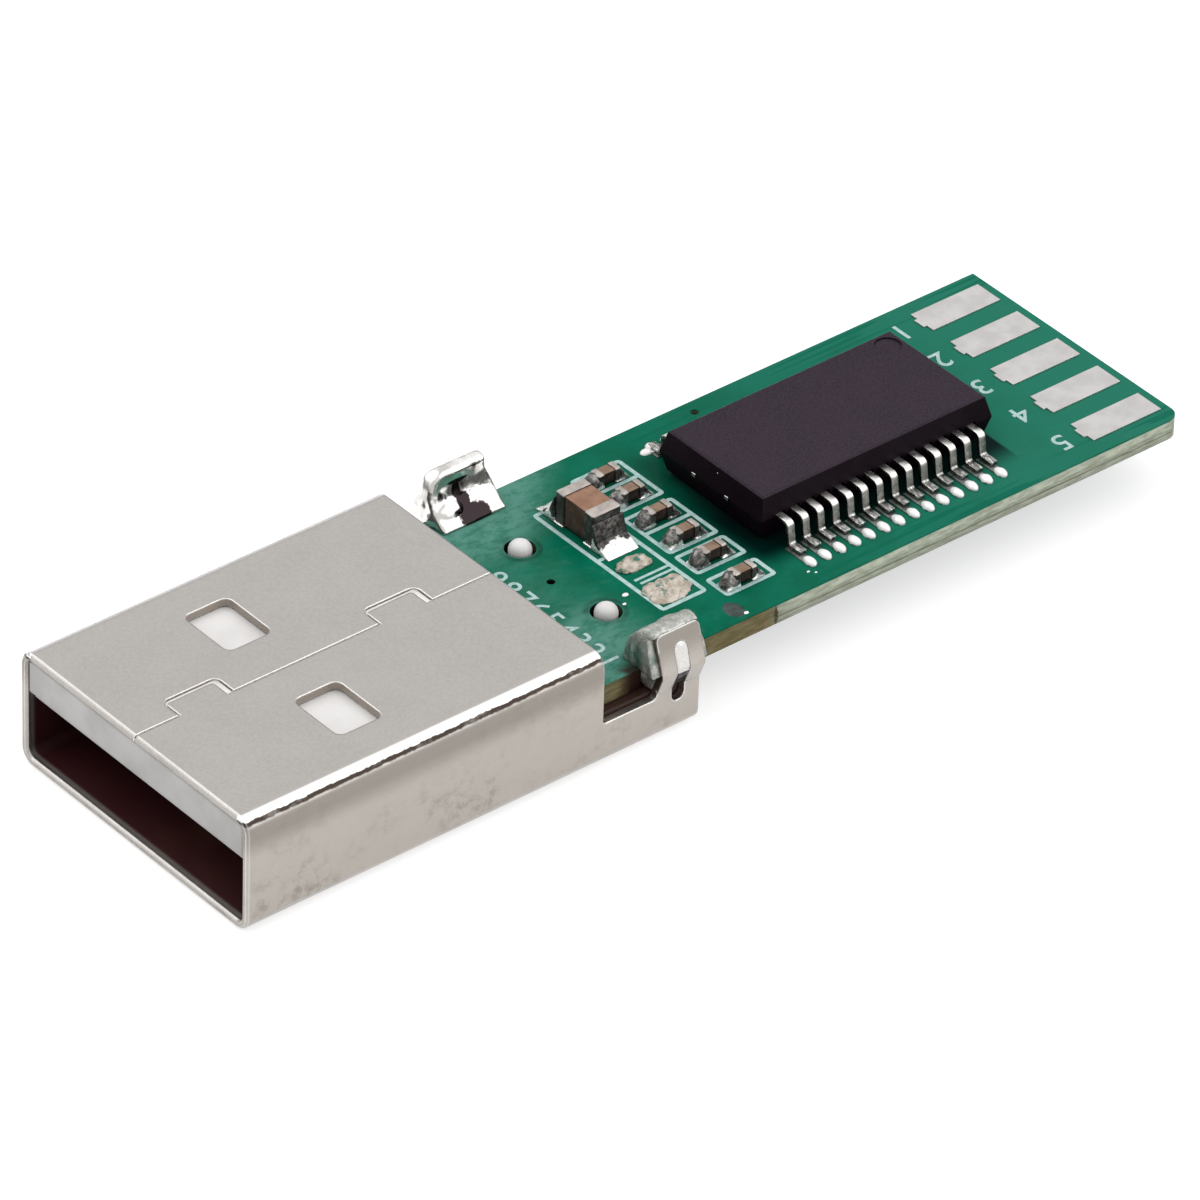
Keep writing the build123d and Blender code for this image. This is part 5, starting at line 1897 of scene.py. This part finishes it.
@dataclass
class Studio:
    """Camera at the photograph's angle, pale floor and plain soft light."""

    azimuth: float = -40.588
    elevation: float = 35.895
    roll: float = 1.818
    distance: float = 356.264
    target: tuple = (21.784, 2.559, -1.238)
    focal_pixels: float = 10571.15
    image_pixels: float = 1200.0
    sensor: float = 36.0
    floor_size: float = 6.0
    floor_gap: float = 0.02
    floor_glow: float = 0.62
    lamps: tuple = (SoftLamp("key", (0.35, -0.40, 0.42), 0.8, 2.15),
                    SoftLamp("fill", (-0.25, 0.35, 0.55), 0.7, 1.5))

    def camera(self) -> None:
        """Add the camera that sees the object as the photograph does."""
        a, e, r = (math.radians(v) for v in (self.azimuth, self.elevation, self.roll))
        back = Vector((math.sin(a) * math.cos(e), -math.cos(a) * math.cos(e), math.sin(e)))
        right = Vector((0.0, 0.0, 1.0)).cross(back).normalized()
        up = back.cross(right)
        right, up = (math.cos(r) * right + math.sin(r) * up, -math.sin(r) * right + math.cos(r) * up)
        data = bpy.data.cameras.new("photo_camera")
        data.sensor_width = self.sensor
        data.lens = self.focal_pixels * self.sensor / self.image_pixels
        data.clip_start, data.clip_end = 0.01, 10.0
        camera = bpy.data.objects.new("photo_camera", data)
        turn = Matrix((right, up, back)).transposed().to_4x4()
        camera.matrix_world = Matrix.Translation(spot(*self.target) + back * self.distance * MM) @ turn
        bpy.context.scene.collection.objects.link(camera)
        bpy.context.scene.camera = camera

    def floor(self) -> None:
        """Add the pale floor, which shows white to the camera and keeps the shadow."""
        level = CAD_BOX[0][2] - self.floor_gap * MM
        bpy.ops.mesh.primitive_plane_add(size=self.floor_size, location=(0.0, 0.0, level))
        floor = settle(named("studio_floor"))
        material = bpy.data.materials.new("pale_floor")
        material.use_nodes = True
        s = Shader(material.node_tree)
        surface = material.node_tree.nodes["Principled BSDF"]
        tone = s.mix(s.noise(s.coordinates((0.02, 0.02, 0.02)), 1.0), (0.49, 0.49, 0.49), (0.51, 0.51, 0.51))
        s.feed(surface.inputs["Base Color"], tone)
        surface.inputs["Roughness"].default_value = 0.9
        surface.inputs["Specular IOR Level"].default_value = 0.0
        path = s.node("ShaderNodeLightPath")
        seen = s.math("MAXIMUM", path.outputs["Is Camera Ray"], path.outputs["Is Glossy Ray"])
        seen = s.math("MAXIMUM", seen, path.outputs["Is Transmission Ray"])
        surface.inputs["Emission Color"].default_value = (1.0, 1.0, 1.0, 1.0)
        s.feed(surface.inputs["Emission Strength"], s.math("MULTIPLY", seen, self.floor_glow))
        floor.data.materials.append(material)

    def world(self) -> None:
        """Soft dome, brighter above, that shows white where the camera looks at it."""
        world = bpy.data.worlds.new("studio")
        bpy.context.scene.world = world
        world.use_nodes = True
        s = Shader(world.node_tree)
        background = world.node_tree.nodes["Background"]
        path = s.node("ShaderNodeLightPath")
        across, height = s.split(s.node("ShaderNodeTexCoord").outputs["Generated"])[1:]
        bright = s.math("MAXIMUM", s.remap(height, 0.12, 0.42), s.remap(across, -0.65, -0.35, 1.0, 0.0))
        mirrored = s.mix(bright, (0.26, 0.25, 0.25), (1.0, 1.0, 1.0))
        falling = s.mix(s.remap(height, 0.25, 0.85), (0.14, 0.14, 0.14), (1.22, 1.22, 1.22))
        dome = s.mix(path.outputs["Is Glossy Ray"], falling, mirrored)
        shown = s.math("MAXIMUM", path.outputs["Is Camera Ray"], path.outputs["Is Transmission Ray"])
        s.feed(background.inputs["Color"], s.mix(shown, dome, (1.0, 1.0, 1.0)))
        background.inputs["Strength"].default_value = 1.0

    def build(self) -> None:
        """Set up the camera, the floor and the light."""
        bpy.context.scene.view_settings.view_transform = "Standard"
        self.camera()
        self.floor()
        self.world()
        for lamp in self.lamps:
            lamp.add()


def dress_nodes(palette: Palette) -> None:
    """Give every CAD node that stays in view its finish.

    Args:
        palette: Finishes to dress the piece with.
    """
    looks = {
        "plug_shell": Look.SATIN_NICKEL,
        "plug_insulator": Look.WHITE_MOULDING,
        "circuit_board": Look.GREEN_MASK,
        "wire_pads_upper": Look.BARE_PAD,
        "wire_pads_lower": Look.BARE_PAD,
        "transceiver_body": Look.CHIP_MOULD,
        "bridge_body": Look.CHIP_MOULD,
        "bridge_terminals": Look.TIN_PLATE,
        "bridge_solder": Look.DULL_SOLDER,
        "contact_solder": Look.DULL_SOLDER,
        "chip_part_solder_lower": Look.DULL_SOLDER,
        "supply_capacitor_body": Look.BROWN_CERAMIC,
        "supply_bead_body": Look.DARK_FERRITE,
        "bridge_capacitor_1_body": Look.BROWN_CERAMIC,
        "bridge_capacitor_2_body": Look.BROWN_CERAMIC,
    }
    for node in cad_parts:
        if node.endswith("_caps"):
            palette.dress_node(node, Look.FIRED_CAP)
        elif "contact_" in node and node != "contact_solder":
            palette.dress_node(node, Look.GOLD_CONTACT)
        elif node in looks:
            palette.dress_node(node, looks[node])


def main() -> None:
    """Build the scene piece by piece."""
    logging.basicConfig(level=logging.INFO, format="%(message)s")
    palette = Palette()
    dress_nodes(palette)
    mounds = [mound for name in SMALL_CAPACITORS for mound in end_mounds(name)]
    pieces = [
        FormedLeads().build(palette),
        BoardPrint().build(palette),
        PrintedNumbers().build(palette),
        MoltenSolder("leg_solder_far", Look.MIRROR_SOLDER, voxel=0.045, rounds=26, swell=0.06, ripple=0.05,
                     ripple_size=1.0, beads=FAR_LEG_BEADS, tucked=LEG_TUCK).build(palette),
        MoltenSolder("leg_solder_near", Look.FLUX_HUMP, voxel=0.04, rounds=9, swell=0.02, ripple=0.08,
                     ripple_size=0.6, beads=NEAR_LEG_BEADS, tucked=LEG_TUCK).build(palette),
        MoltenSolder("bridged_pads", Look.FLUX_SOLDER, ripple=0.22, ripple_size=0.26, swell=0.005,
                     beads=BRIDGE_BEADS).build(palette),
        MoltenSolder("chip_part_solder_upper", Look.WET_FILLET, voxel=0.03, rounds=5, ripple=0.05,
                     beads=tuple(mounds)).build(palette),
        SeamFloor().build(palette),
        TongueFront().build(palette),
    ]
    pieces += LeadSolder().build(palette)
    pieces += StraySolder().build(palette)
    pieces += ChipPart("bulk_capacitor", Look.TAN_CERAMIC).build(palette)
    for name in SMALL_CAPACITORS:
        pieces += ChipPart(name, Look.BROWN_CERAMIC).build(palette)
    for piece in pieces:
        LOG.info("%s: %d faces", piece.name, len(piece.data.polygons))
    Studio().build()


if __name__ == "__main__":
    main()
